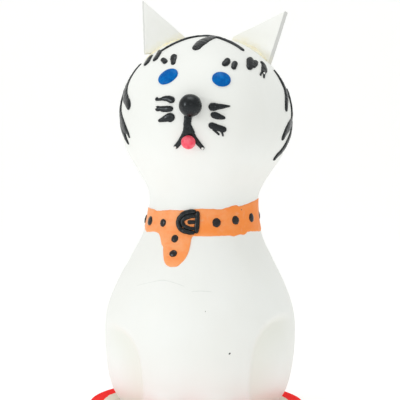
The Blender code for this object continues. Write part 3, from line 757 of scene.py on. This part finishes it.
def bead(name, yaw, pitch, radius, proud, stretch, finish):
    """Slightly uneven round bead sunk in the skin, its centre that far outside it."""
    centre = settle(head_point(yaw, pitch), proud)
    turn = np.array(Vector(normal_at(centre)).to_track_quat("Z", "Y").to_matrix())
    polar = math.pi * np.arange(1, BALL_RINGS)[:, None] / BALL_RINGS
    around = 2 * math.pi * np.arange(BALL_SECTORS)[None] / BALL_SECTORS
    ball = np.stack(np.broadcast_arrays(
        np.sin(polar) * np.cos(around), np.sin(polar) * np.sin(around), np.cos(polar)
    ), -1).reshape(-1, 3)
    away = ball * stretch @ turn.T * radius
    away *= (1 + 0.022 * wobble(centre + away, 0.7 * radius, len(name)))[:, None]
    reach = turn[:, 2] * stretch[2] * radius
    points = np.concatenate((centre + away, (centre + reach, centre - reach)))
    count = len(away)
    faces = flipped(grid_faces(BALL_RINGS - 1, BALL_SECTORS)) + fan_faces(0, BALL_SECTORS, count)
    faces += flipped(fan_faces(count - BALL_SECTORS, BALL_SECTORS, count + 1))
    add_piece(name, points, faces, finish, (name,))


bead("nose_bead", -9.3, 6.4, 7.35 * MM, 5.4 * MM, (1.0, 0.99, 0.97), NOSE_PAINT)
bead("tongue_bead", -11.0, -15.3, 4.6 * MM, 3.2 * MM, (1.0, 0.97, 0.9), TONGUE_PAINT)


# ---------------------------------------------------------------- collar

STRAP_LIFT = 0.55 * MM
STRAP_EDGE = 1.1 * MM       # the strap's thickness rounds off over this width
STRAP_SKIN = -0.25 * MM     # underside, sunk in the skin
STRAP_RAGGED = 0.28 * MM    # how far its cut edges wander
STRAP_COLUMNS = np.array((0, 0.03, 0.12, 0.28, 0.5, 0.8, 1.15)) * MM  # points this far in from either edge
NECK_TURN = 0.66 * MM       # length of one degree round the neck
EDGE_SAMPLES = 6000
# Upper and lower edge of the strap: azimuth in degrees, height in mm.
UPPER_EDGE = (
    (-180, 143.2), (-140, 141.4), (-110, 140.4), (-92, 140.2), (-75, 140.0), (-64, 140.0), (-55, 139.3),
    (-38, 140.4), (-23, 140.7), (-10, 141.6), (-2, 142.1), (8, 142.0), (17, 141.7), (24.6, 142.8),
    (34.4, 144.2), (40, 143.4), (52.4, 144.7), (71.4, 146.6), (90, 147.4), (120, 147.2), (150, 145.2),
)
LOWER_EDGE = (
    (-180, 125.0), (-150, 124.2), (-120, 124.8), (-98, 125.8), (-86, 127.2), (-79, 126.0), (-70, 124.5),
    (-55, 125.2), (-47.5, 124.7), (-44, 123.0), (-41.5, 120.6), (-39, 118.0), (-36.2, 116.2),
    (-34.6, 113.4), (-32.6, 110.2),
    (-30.4, 107.2), (-26.5, 105.0), (-22, 104.4), (-18.6, 105.1), (-15.6, 107.2), (-12.9, 110.6),
    (-11.3, 114.4),
    (-10.7, 118.4), (-10.3, 122.0), (-9.2, 123.7), (-6, 124.2), (6, 124.2), (24, 124.4), (31, 123.9),
    (37, 124.7),
    (42.6, 124.5), (46.5, 125.2), (49, 126.2), (60, 126.0), (79, 125.2), (95, 126.6), (120, 127.4),
    (150, 126.4),
)


def edge_table(rows):
    """Azimuths and heights of a closed, smoothly interpolated edge of the strap."""
    rows = np.array(rows, float) * (NECK_TURN, MM)
    rows = np.vstack((rows[-1] - (360 * NECK_TURN, 0), rows, rows[:2] + (360 * NECK_TURN, 0)))
    dense, _ = spline(np.column_stack((rows, np.zeros(len(rows)))), EDGE_SAMPLES)
    order = np.maximum.accumulate(dense[:, 0])
    return order / NECK_TURN, dense[:, 1]


UPPER_TABLE, LOWER_TABLE = edge_table(UPPER_EDGE), edge_table(LOWER_EDGE)
TAB_SPAN = (-52, -5)        # azimuths between which the strap's end hangs down


def build_collar():
    """Painted paper strip round the neck with its hanging end, one closed sheet with a ragged edge."""
    coarse = np.arange(-180, 180, 1.0)
    fine = np.arange(TAB_SPAN[0], TAB_SPAN[1], 0.25)
    azimuth = np.concatenate((coarse[coarse < TAB_SPAN[0]], fine, coarse[coarse >= TAB_SPAN[1]]))
    low = np.interp(azimuth, *LOWER_TABLE)
    high = np.interp(azimuth, *UPPER_TABLE)
    ends = np.stack((azimuth * NECK_TURN, np.zeros(len(azimuth)), low), -1)
    low = low + STRAP_RAGGED * wobble(ends, 2.6 * MM, 21)
    ends[:, 2] = high
    high = high + STRAP_RAGGED * wobble(ends, 2.6 * MM, 22)
    near = STRAP_COLUMNS
    middle = np.linspace(0, 1, 22)[1:-1]
    inner_low, inner_high = low + near[-1], high - near[-1]
    heights = np.concatenate((
        low[:, None] + near[None], inner_low[:, None] + (inner_high - inner_low)[:, None] * middle,
        (high[:, None] - near[None])[:, ::-1],
    ), 1)
    rim = np.concatenate((
        np.stack((azimuth * NECK_TURN, low), -1), np.stack((azimuth * NECK_TURN, high), -1)
    ))
    place = np.stack((np.broadcast_to((azimuth * NECK_TURN)[:, None], heights.shape), heights), -1)
    from_edge = np.minimum(heights - low[:, None], high[:, None] - heights)
    for i in np.nonzero((azimuth > TAB_SPAN[0]) & (azimuth < TAB_SPAN[1]))[0]:
        close = rim[np.abs(rim[:, 0] - azimuth[i] * NECK_TURN) < 3 * MM]
        gap = np.linalg.norm(place[i][:, None] - close[None], axis=2).min(1)
        from_edge[i] = np.minimum(from_edge[i], gap)
    share = np.clip(from_edge / STRAP_EDGE, 0, 1)
    lift = STRAP_LIFT * np.sqrt(1 - (1 - share) ** 2)
    on_skin = skin_point(azimuth[:, None], heights)
    flat = on_skin.reshape(-1, 3)
    uneven = wobble(flat, 5 * MM, 31) * 0.10 * MM + wobble(flat, 1.6 * MM, 32) * 0.03 * MM
    uneven = uneven.reshape(lift.shape)
    top = settle(on_skin, lift + uneven * share)
    top[:, (0, -1)] = settle(on_skin[:, (0, -1)], STRAP_SKIN)
    under = range(on_skin.shape[1] - len(near) - 1, len(near) - 1, -2)
    rings = np.concatenate((top, settle(on_skin[:, under], STRAP_SKIN)), 1)
    columns = rings.shape[1]
    faces = grid_faces(len(azimuth), columns) + bridge_faces((len(azimuth) - 1) * columns, 0, columns)
    add_piece("collar_strap", rings.reshape(-1, 3), flipped(faces), STRAP, ("collar_band", "collar_tab"))


build_collar()

STUD_HEIGHT = 1.15 * MM
ON_STRAP = 0.45 * MM
# Azimuth and height of each stud, and its half width and half height, in degrees and mm.
STUDS = {
    "collar_stud_01": (-88.5, 132, 2.8, 3.0), "collar_stud_02": (-66.1, 131.9, 3.4, 3.2),
    "collar_stud_03": (-42.9, 131.7, 2.5, 2.7), "collar_stud_04": (13.2, 132.9, 2.85, 3.05),
    "collar_stud_05": (33.8, 134.2, 2.75, 2.95), "collar_stud_06": (57.1, 135.2, 2.7, 3.1),
    "tab_stud_upper": (-26.0, 122.0, 2.5, 2.65), "tab_stud_lower": (-24.3, 112.6, 2.75, 2.4),
}
BACK_STUDS = ((97, 135), (126, 134.6), (155, 133.8), (184, 132.9), (213, 132), (242, 131.4))
for number, place in enumerate(BACK_STUDS, 7):
    STUDS[f"collar_stud_{number:02d}"] = (*place, 2.75, 2.9)
for stud, (azimuth, height, *half_sizes) in STUDS.items():
    spot(stud, skin_point(azimuth, height * MM), half_sizes, STUD_HEIGHT, STUD_PAINT,
         ground=ON_STRAP, ragged=0.09)


def neck_anchors(run):
    """Anchors on the skin from (azimuth, height mm, half width mm) rows, for bead_rings."""
    run = np.array(run, float)
    return np.column_stack((skin_point(run[:, 0], run[:, 1] * MM), run[:, 2] * MM))


# The strands and the bar of the buckle, and its prong: azimuth, height in mm, half width in mm.
BUCKLE = (
    ((-7.2, 139.7, 1.4), (-12.5, 140.0, 1.6), (-20.6, 138.1, 1.7), (-25.0, 133.2, 1.6), (-21.2, 128.2, 1.6),
     (-13, 126.4, 1.5), (-7.2, 126.3, 1.3)),
    ((-7, 137.1, 1.3), (-12.3, 137.1, 1.6), (-17.9, 135.7, 1.6), (-20.7, 133.2, 1.45), (-17.9, 130.4, 1.4),
     (-12.3, 129.0, 1.3), (-7, 129.0, 1.2)),
    ((-5.9, 140.6, 1.3), (-5.8, 137, 1.7), (-5.7, 133, 1.75), (-5.8, 129, 1.7), (-6.0, 125.8, 1.3)),
)
PRONG = ((-15.4, 133.0, 1.4), (-12, 133.1, 1.5), (-7.0, 133.3, 1.2))
paint_piece("collar_buckle", [neck_anchors(run) for run in BUCKLE], 1.6 * MM, PAINT, ground=ON_STRAP)
paint_piece("buckle_prong", [neck_anchors(PRONG)], 1.5 * MM, PAINT, ground=ON_STRAP)


# ---------------------------------------------------------------- ears and their glue

EAR_THICKNESS = 4.5 * MM
EAR_ROUNDING = 0.5 * MM
EAR_ARRIS = 2.6             # above 2 an ear's edges are squarer than a half circle
# Reference point, turn and lean in degrees; corners across and up in the plate's own plane; foot; how far the
# glue in front spreads and climbs; all in mm.
EARS = {
    "ear_left": dict(point=(-22.2, 3.7, 243), turn=-16, lean=5, foot=(-15.6, 12.8), glue=(3.4, 2.2),
                     corners=((-17.2, 37.3), (-16.2, 1), (13.6, 4), (12.0, 13.1))),
    "ear_right": dict(point=(36.4, 0.6, 246), turn=34, lean=15, foot=(-18.4, 12.6), glue=(7.5, 2.4),
                      corners=((20.9, 28.2), (-17.9, 11), (-19.4, 3), (13.5, -10))),
}


def ear_matrix(ear):
    """The plate's own frame: X across, Y up, Z out of its front."""
    turn, lean = math.radians(ear["turn"]), math.radians(ear["lean"])
    across = Vector((math.cos(turn), -math.sin(turn), 0))
    level = Vector((-math.sin(turn), -math.cos(turn), 0))
    up = Vector((0, 0, math.cos(lean))) - level * math.sin(lean)
    made = Matrix((across, up, across.cross(up))).transposed().to_4x4()
    made.translation = Vector(ear["point"]) * MM
    return made


def card_shares(length):
    """Where the rows of a card's grid lie along a side, as shares of it; close together over the edges."""
    edge = np.array((0, 0.02, 0.09, 0.22, 0.42, 0.70, 1.0)) * EAR_ROUNDING / length
    return np.concatenate((edge, np.linspace(edge[-1], 1 - edge[-1], 26)[1:-1], 1 - edge[::-1]))


def card_plate(name, ear, matrix):
    """Card with soft edges and a slight warp, as a closed grid over the four corners."""
    corners = np.array(ear["corners"], float) * MM
    sides = np.linalg.norm(np.roll(corners, -1, 0) - corners, axis=1)
    length, width = (sides[0] + sides[2]) / 2, (sides[1] + sides[3]) / 2
    s, t = np.meshgrid(card_shares(length), card_shares(width), indexing="ij")
    flat = np.stack(((1 - s) * (1 - t), s * (1 - t), s * t, (1 - s) * t), -1) @ corners
    from_edge = np.minimum(np.minimum(s, 1 - s) * length, np.minimum(t, 1 - t) * width)
    inward = np.minimum(from_edge / EAR_ROUNDING, 1)
    depth = EAR_THICKNESS / 2 * (1 - (1 - inward) ** EAR_ARRIS) ** (1 / EAR_ARRIS)

    def uneven(size, seed):
        return wobble(np.dstack((flat, np.zeros(s.shape))).reshape(-1, 3), size, seed).reshape(s.shape)

    warp = 0.35 * MM * uneven(16 * MM, len(name)) + 0.10 * MM * uneven(5 * MM, len(name) + 3)
    grain = 0.07 * MM * uneven(1.9 * MM, 8) / (EAR_THICKNESS / 2)
    centre = corners.mean(0)
    flat = centre + (flat - centre) * (1 + 0.012 * uneven(3 * MM, len(name) + 7))[..., None]
    front = np.dstack((flat, warp + depth * (1 + grain))).reshape(-1, 3)
    back = np.dstack((flat, warp - depth))[1:-1, 1:-1].reshape(-1, 3)
    in_front = np.arange(s.size).reshape(s.shape)
    behind = in_front.copy()
    behind[1:-1, 1:-1] = s.size + np.arange(len(back)).reshape(behind[1:-1, 1:-1].shape)
    points = [matrix @ Vector(p) for p in (*front, *back)]
    plate = add_piece(name, points, flipped(sheet_faces(in_front)) + sheet_faces(behind), CARD, (name,))
    rim = 1 - smooth((inward - 0.3) / 0.5)
    mark_points(plate, "rim", np.concatenate((rim.ravel(), rim[1:-1, 1:-1].ravel())))


GLUE_SECTIONS = 46
GLUE_STEPS = 11             # points across the glue from the head to the ear
GLUE_SKIN = 0.25 * MM       # least thickness of the glue near its lower edge
GLUE_SEARCH = (-35 * MM, 25 * MM)  # the head's skin is met between these heights on an ear
GLUE_BEHIND = (1.8, 1.5)    # how far the glue behind an ear spreads and climbs, in mm


def glue_run(ear, matrix, side, spread_down, climb, seed):
    """Fillet of glue between the head and one face of an ear; side is 1 in front and -1 behind."""
    face = side * EAR_THICKNESS / 2

    def on_ear(across, up, depth):
        return np.array(matrix @ Vector((across, up, depth)))

    sections = []
    for share in np.linspace(0, 1, GLUE_SECTIONS):
        across = np.interp(share, (0, 1), ear["foot"]) * MM
        low, high = GLUE_SEARCH
        for _ in range(SEARCH_STEPS):
            middle = (low + high) / 2
            inside = clearance(on_ear(across, middle, face)) < 0
            low, high = (middle, high) if inside else (low, middle)
        rough = 1 + 0.35 * noise.noise(Vector((across / (3.5 * MM), seed, 0.3)))
        rough_up = 1 + 0.40 * noise.noise(Vector((across / (4.5 * MM), seed + 5, 0.8)))
        taper = min(1, 0.25 + 3.2 * min(share, 1 - share)) * MM
        out, up = spread_down * rough * taper, climb * rough_up * taper
        corner, top = on_ear(across, high, face), on_ear(across, high + up, face)
        toe = settle(on_ear(across, high, face + side * out), 0)
        knee = corner + (toe - corner) * 0.34 + (top - corner) * 0.34
        section = [settle(toe, BEAD_ROOT)]
        for m in range(1, GLUE_STEPS - 1):
            u = m / (GLUE_STEPS - 1)
            world = toe * (1 - u) ** 2 + knee * 2 * u * (1 - u) + top * u**2
            least = GLUE_SKIN * min(m, 2)
            section.append(settle(world, least) if clearance(world) < least else world)
        section.append(on_ear(across, high + up, face - side * 0.35 * MM))
        section.append(on_ear(across, high - 1.2 * MM, face - side * 0.5 * MM))
        sections.append(section)
    sections = np.array(sections)
    swell = (0.22 * MM * wobble(sections.reshape(-1, 3), 2.4 * MM, seed)).reshape(sections.shape[:2])
    swell[:, (0, -1, -2)] = 0
    sections = sections + normal_at(sections) * swell[..., None]
    faces = capped_faces(*sections.shape[:2])
    return sections.reshape(-1, 3), flipped(faces) if side > 0 else faces


for ear_name, ear in EARS.items():
    matrix, glue_name = ear_matrix(ear), ear_name.replace("ear", "ear_glue")
    card_plate(ear_name, ear, matrix)
    glue = join_meshes((
        glue_run(ear, matrix, 1, *ear["glue"], len(ear_name)),
        glue_run(ear, matrix, -1, *GLUE_BEHIND, len(ear_name) + 2),
    ))
    add_piece(glue_name, *glue, GLUE, (glue_name,))


# ---------------------------------------------------------------- base and tail

BOARD_SECTORS = 200
BOARD_ROUNDING = 1.0 * MM
BOARD_WEAR = 0.05 * MM      # how uneven its top is
BOARD_RINGS = (71, 69, 67, 65.5, 64.4, 63.6, 62, 60, 56, 50, 40, 20)  # radii of points on its top, in mm


def build_base():
    """Painted round board with a softened rim."""
    soft, bend = BOARD_ROUNDING, np.linspace(0, math.pi / 2, 7)
    profile = [(share * BASE_RADIUS, 0.0) for share in (0.35, 0.8)]
    profile += [(BASE_RADIUS - soft + soft * math.sin(a), soft - soft * math.cos(a)) for a in bend]
    profile += [(BASE_RADIUS, BASE_TOP / 2)]
    profile += [(BASE_RADIUS - soft + soft * math.cos(a), BASE_TOP - soft + soft * math.sin(a)) for a in bend]
    profile += [(radius * MM, BASE_TOP) for radius in BOARD_RINGS]
    points = []
    for radius, height in profile:
        near_rim = max(0, 1 - (BASE_RADIUS - radius) / (3 * MM))
        for angle in np.linspace(0, 2 * math.pi, BOARD_SECTORS, endpoint=False):
            at = Vector((math.cos(angle), math.sin(angle), 0))
            worn = 0.16 * MM * noise.noise(at * 6) + 0.08 * MM * noise.noise(at * 19)
            point = at * (radius - abs(worn) * near_rim) + Vector((0, 0, height))
            if 0.5 * BASE_TOP < height and 0 < near_rim < 1 or height == BASE_TOP:
                point.z += BOARD_WEAR * (noise.noise(point / (7 * MM)) - 1)
            points.append(point)
    count = len(points)
    points += [Vector((0, 0, 0)), Vector((0, 0, BASE_TOP - BOARD_WEAR))]
    faces = grid_faces(len(profile), BOARD_SECTORS) + flipped(fan_faces(0, BOARD_SECTORS, count))
    faces += fan_faces(count - BOARD_SECTORS, BOARD_SECTORS, count + 1)
    add_piece("base_board", points, faces, BOARD, ("base_disc",))


build_base()

TAIL_RADIUS = 5.8 * MM
TAIL_FROM, TAIL_TURN = 214, -88  # azimuth of its root, and how far it goes round the body, in degrees
TAIL_GAP = 0.3 * MM         # between it and the board and the body
TAIL_SECTORS = 36
TAIL_STEP = 0.004           # share of its length over which its direction is taken
TIP_BENDS = np.radians((31.5, 63, 82.8))  # angles of the rings that round off its ends
STRIPE_HEIGHT = 0.6 * MM
STRIPE_ROOT = -0.1 * MM     # how far a stripe's edges are sunk in it


def tail_centre(share):
    """Middle and radius of the tail a share of the way from root to tip."""
    root, tip = smooth(share / 0.2), smooth((1 - share) / 0.35)
    radius = TAIL_RADIUS * (0.45 + 0.55 * root) * (0.4 + 0.6 * tip)
    height = BASE_TOP + TAIL_GAP + radius
    azimuth = TAIL_FROM + TAIL_TURN * share
    levels = height + radius * np.array((-1, 0, 1))
    reach = skin_radius(np.full(3, float(azimuth)), levels).max() + TAIL_GAP + radius
    angle = math.radians(azimuth)
    return np.array((axis_x(height) + reach * math.sin(angle), -reach * math.cos(angle), height)), radius


def tail_ring(share, extra):
    """Ring of points round the tail, that far outside its skin."""
    centre, radius = tail_centre(share)
    ahead, behind = tail_centre(min(share + TAIL_STEP, 1))[0], tail_centre(max(share - TAIL_STEP, 0))[0]
    along = Vector(ahead - behind).normalized()
    side = along.cross(Vector((0, 0, 1))).normalized()
    top = side.cross(along)
    angles = np.linspace(0, 2 * math.pi, TAIL_SECTORS, endpoint=False)
    ring = np.array([side * math.cos(a) + top * math.sin(a) for a in angles])
    at = centre + ring * radius
    uneven = 1 + 0.035 * wobble(at, 9 * MM, 41)
    return centre + ring * (radius * uneven + extra)[:, None]


def tube_along_tail(name, first, last, count, finish, replaces=(), bulge=0.0, extra=0.0):
    """Closed tube on part of the tail; its ends are rounded, or it bulges in its middle as a stripe."""
    rings = []
    for share in np.linspace(0, 1, count):
        lift = extra + bulge * math.sin(math.pi * share) ** 0.7
        rings.append(tail_ring(first + (last - first) * share, lift))
    points = list(np.concatenate(rings))
    faces = grid_faces(count, TAIL_SECTORS)
    for start, ring, before in ((0, rings[0], rings[1]), (len(points) - TAIL_SECTORS, rings[-1], rings[-2])):
        centre = ring.mean(0)
        outward = centre - before.mean(0)
        reach = outward / np.linalg.norm(outward) * (0 if bulge else np.linalg.norm(ring[0] - centre))
        cap, low = [], start
        for bend in () if bulge else TIP_BENDS:
            cap += bridge_faces(low, len(points), TAIL_SECTORS)
            low = len(points)
            points += list(centre + (ring - centre) * math.cos(bend) + reach * math.sin(bend))
        cap += fan_faces(low, TAIL_SECTORS, len(points))
        points.append(centre + reach)
        faces += cap if start else flipped(cap)
    add_piece(name, points, flipped(faces), finish, replaces)


tube_along_tail("tail", 0.0, 1.0, 70, ENAMEL, ("tail",))
for number, (start, end) in enumerate(((0.30, 0.37), (0.48, 0.55), (0.66, 0.73), (0.86, 0.985)), 1):
    tube_along_tail(f"tail_stripe_{number}", start, end, 14, PAINT, bulge=STRIPE_HEIGHT, extra=STRIPE_ROOT)


# ---------------------------------------------------------------- specks of dirt and paint

# Azimuth in degrees; height, half width and half height in mm; finish; how far off the skin it lies, in mm.
SPECKS = (
    (17, 51, 0.75, 0.5, SPECK, 0), (3, 78, 0.45, 0.3, PALE_SPECK, 0), (205, 60, 0.6, 0.4, SPECK, 0),
    (140, 88, 0.45, 0.35, PALE_SPECK, 0), (250, 44, 0.5, 0.4, SPECK, 0), (42, 141, 0.42, 0.38, SPECK, 0.5),
)
for number, (azimuth, height, wide, tall, dirt, off) in enumerate(SPECKS, 1):
    spot(f"paint_speck_{number}", skin_point(azimuth, height * MM), (wide, tall), 0.18 * MM, dirt,
         40 * number, replaces=(), ground=off * MM, ragged=0.3)

# Faint hairlines in the enamel of the chest: azimuth, height mm, half width mm.
HAIRLINES = (
    ((-48, 91, 0.2), (-37, 94, 0.35), (-26, 96, 0.35), (-11, 93, 0.2)),
    ((-6, 90, 0.2), (0, 90.4, 0.3), (7, 90, 0.2)),
)
for number, line in enumerate(HAIRLINES, 1):
    paint_piece(f"enamel_line_{number}", [neck_anchors(line)], 0.25 * MM, FAINT_LINE, replaces=())


# ---------------------------------------------------------------- camera, lights and floor

CAMERA_LENS = 117           # mm, on a sensor 36 mm wide
CAMERA_PLACE = (0.0007, -0.8866, 0.202)
CAMERA_DOWN = math.radians(3.653)
CAMERA_ROLL = 0.010
WORLD_COLOR = (0.985, 1.0, 0.968, 1)
WORLD_LIGHT = 0.675
# Name, place, size, watts and colour of each lamp; they are aimed at LAMP_TARGET.
LAMPS = (
    ("key", (-1.02, -0.68, 0.45), (0.18, 0.22), 2.3, (0.99, 1.0, 1.0)),
    ("top", (0.0, -0.25, 1.5), (0.9, 0.7), 4.7, (1.0, 1.0, 0.99)),
    ("front", (0.12, -1.2, 0.5), (0.10, 0.10), 0.25, (1.0, 1.0, 1.0)),
)
LAMP_TARGET = Vector((0, 0, 0.15))
SWEEP_GLOW = 0.215
SWEEP_HALF_WIDTH = 2.4
SWEEP_BEND = 0.7            # radius
SWEEP_BEND_STEPS = 24
SWEEP_FRONT, SWEEP_BACK, SWEEP_TOP = -1.8, 1.6, 2.2
SWEEP_DROP = 0.0002         # the paper lies this far under the board


def set_camera(scene):
    camera = bpy.data.objects.new("camera", bpy.data.cameras.new("camera"))
    camera.data.lens = CAMERA_LENS
    camera.data.sensor_width = 36
    camera.matrix_world = (
        Matrix.Translation(CAMERA_PLACE) @ Matrix.Rotation(math.pi / 2 - CAMERA_DOWN, 4, "X")
        @ Matrix.Rotation(CAMERA_ROLL, 4, "Z")
    )
    scene.collection.objects.link(camera)
    scene.camera = camera


def set_lights(scene):
    world = bpy.data.worlds.new("studio")
    world.use_nodes = True
    background = world.node_tree.nodes["Background"]
    background.inputs["Color"].default_value = WORLD_COLOR
    background.inputs["Strength"].default_value = WORLD_LIGHT
    scene.world = world
    for name, place, size, power, color in LAMPS:
        lamp = bpy.data.lights.new(name, "AREA")
        lamp.shape = "RECTANGLE"
        lamp.size, lamp.size_y = size
        lamp.energy = power
        lamp.color = color
        made = bpy.data.objects.new(name, lamp)
        made.location = place
        made.rotation_euler = (LAMP_TARGET - Vector(place)).to_track_quat("-Z", "Y").to_euler()
        scene.collection.objects.link(made)


def set_floor(scene):
    """White paper that curves up behind the figure."""
    paper = Look(
        "paper_sweep", (0.93, 0.93, 0.93), 0.9, Emission_Color=(1, 1, 1, 1), Emission_Strength=SWEEP_GLOW
    )
    line = [(SWEEP_FRONT, 0.0)]
    for angle in np.linspace(0, math.pi / 2, SWEEP_BEND_STEPS + 1):
        line.append((
            SWEEP_BACK - SWEEP_BEND + SWEEP_BEND * math.sin(angle), SWEEP_BEND - SWEEP_BEND * math.cos(angle)
        ))
    line.append((SWEEP_BACK, SWEEP_TOP))
    points = [(x, y, z - SWEEP_DROP) for y, z in line for x in (-SWEEP_HALF_WIDTH, SWEEP_HALF_WIDTH)]
    mesh = bpy.data.meshes.new("sweep")
    mesh.from_pydata(points, [], [(2 * k, 2 * k + 1, 2 * k + 3, 2 * k + 2) for k in range(len(line) - 1)])
    mesh.materials.append(paper.material)
    mesh.shade_smooth()
    floor = bpy.data.objects.new("sweep", mesh)
    scene.collection.objects.link(floor)


stage = bpy.context.scene
stage.view_settings.view_transform = "Standard"
set_camera(stage)
set_lights(stage)
set_floor(stage)
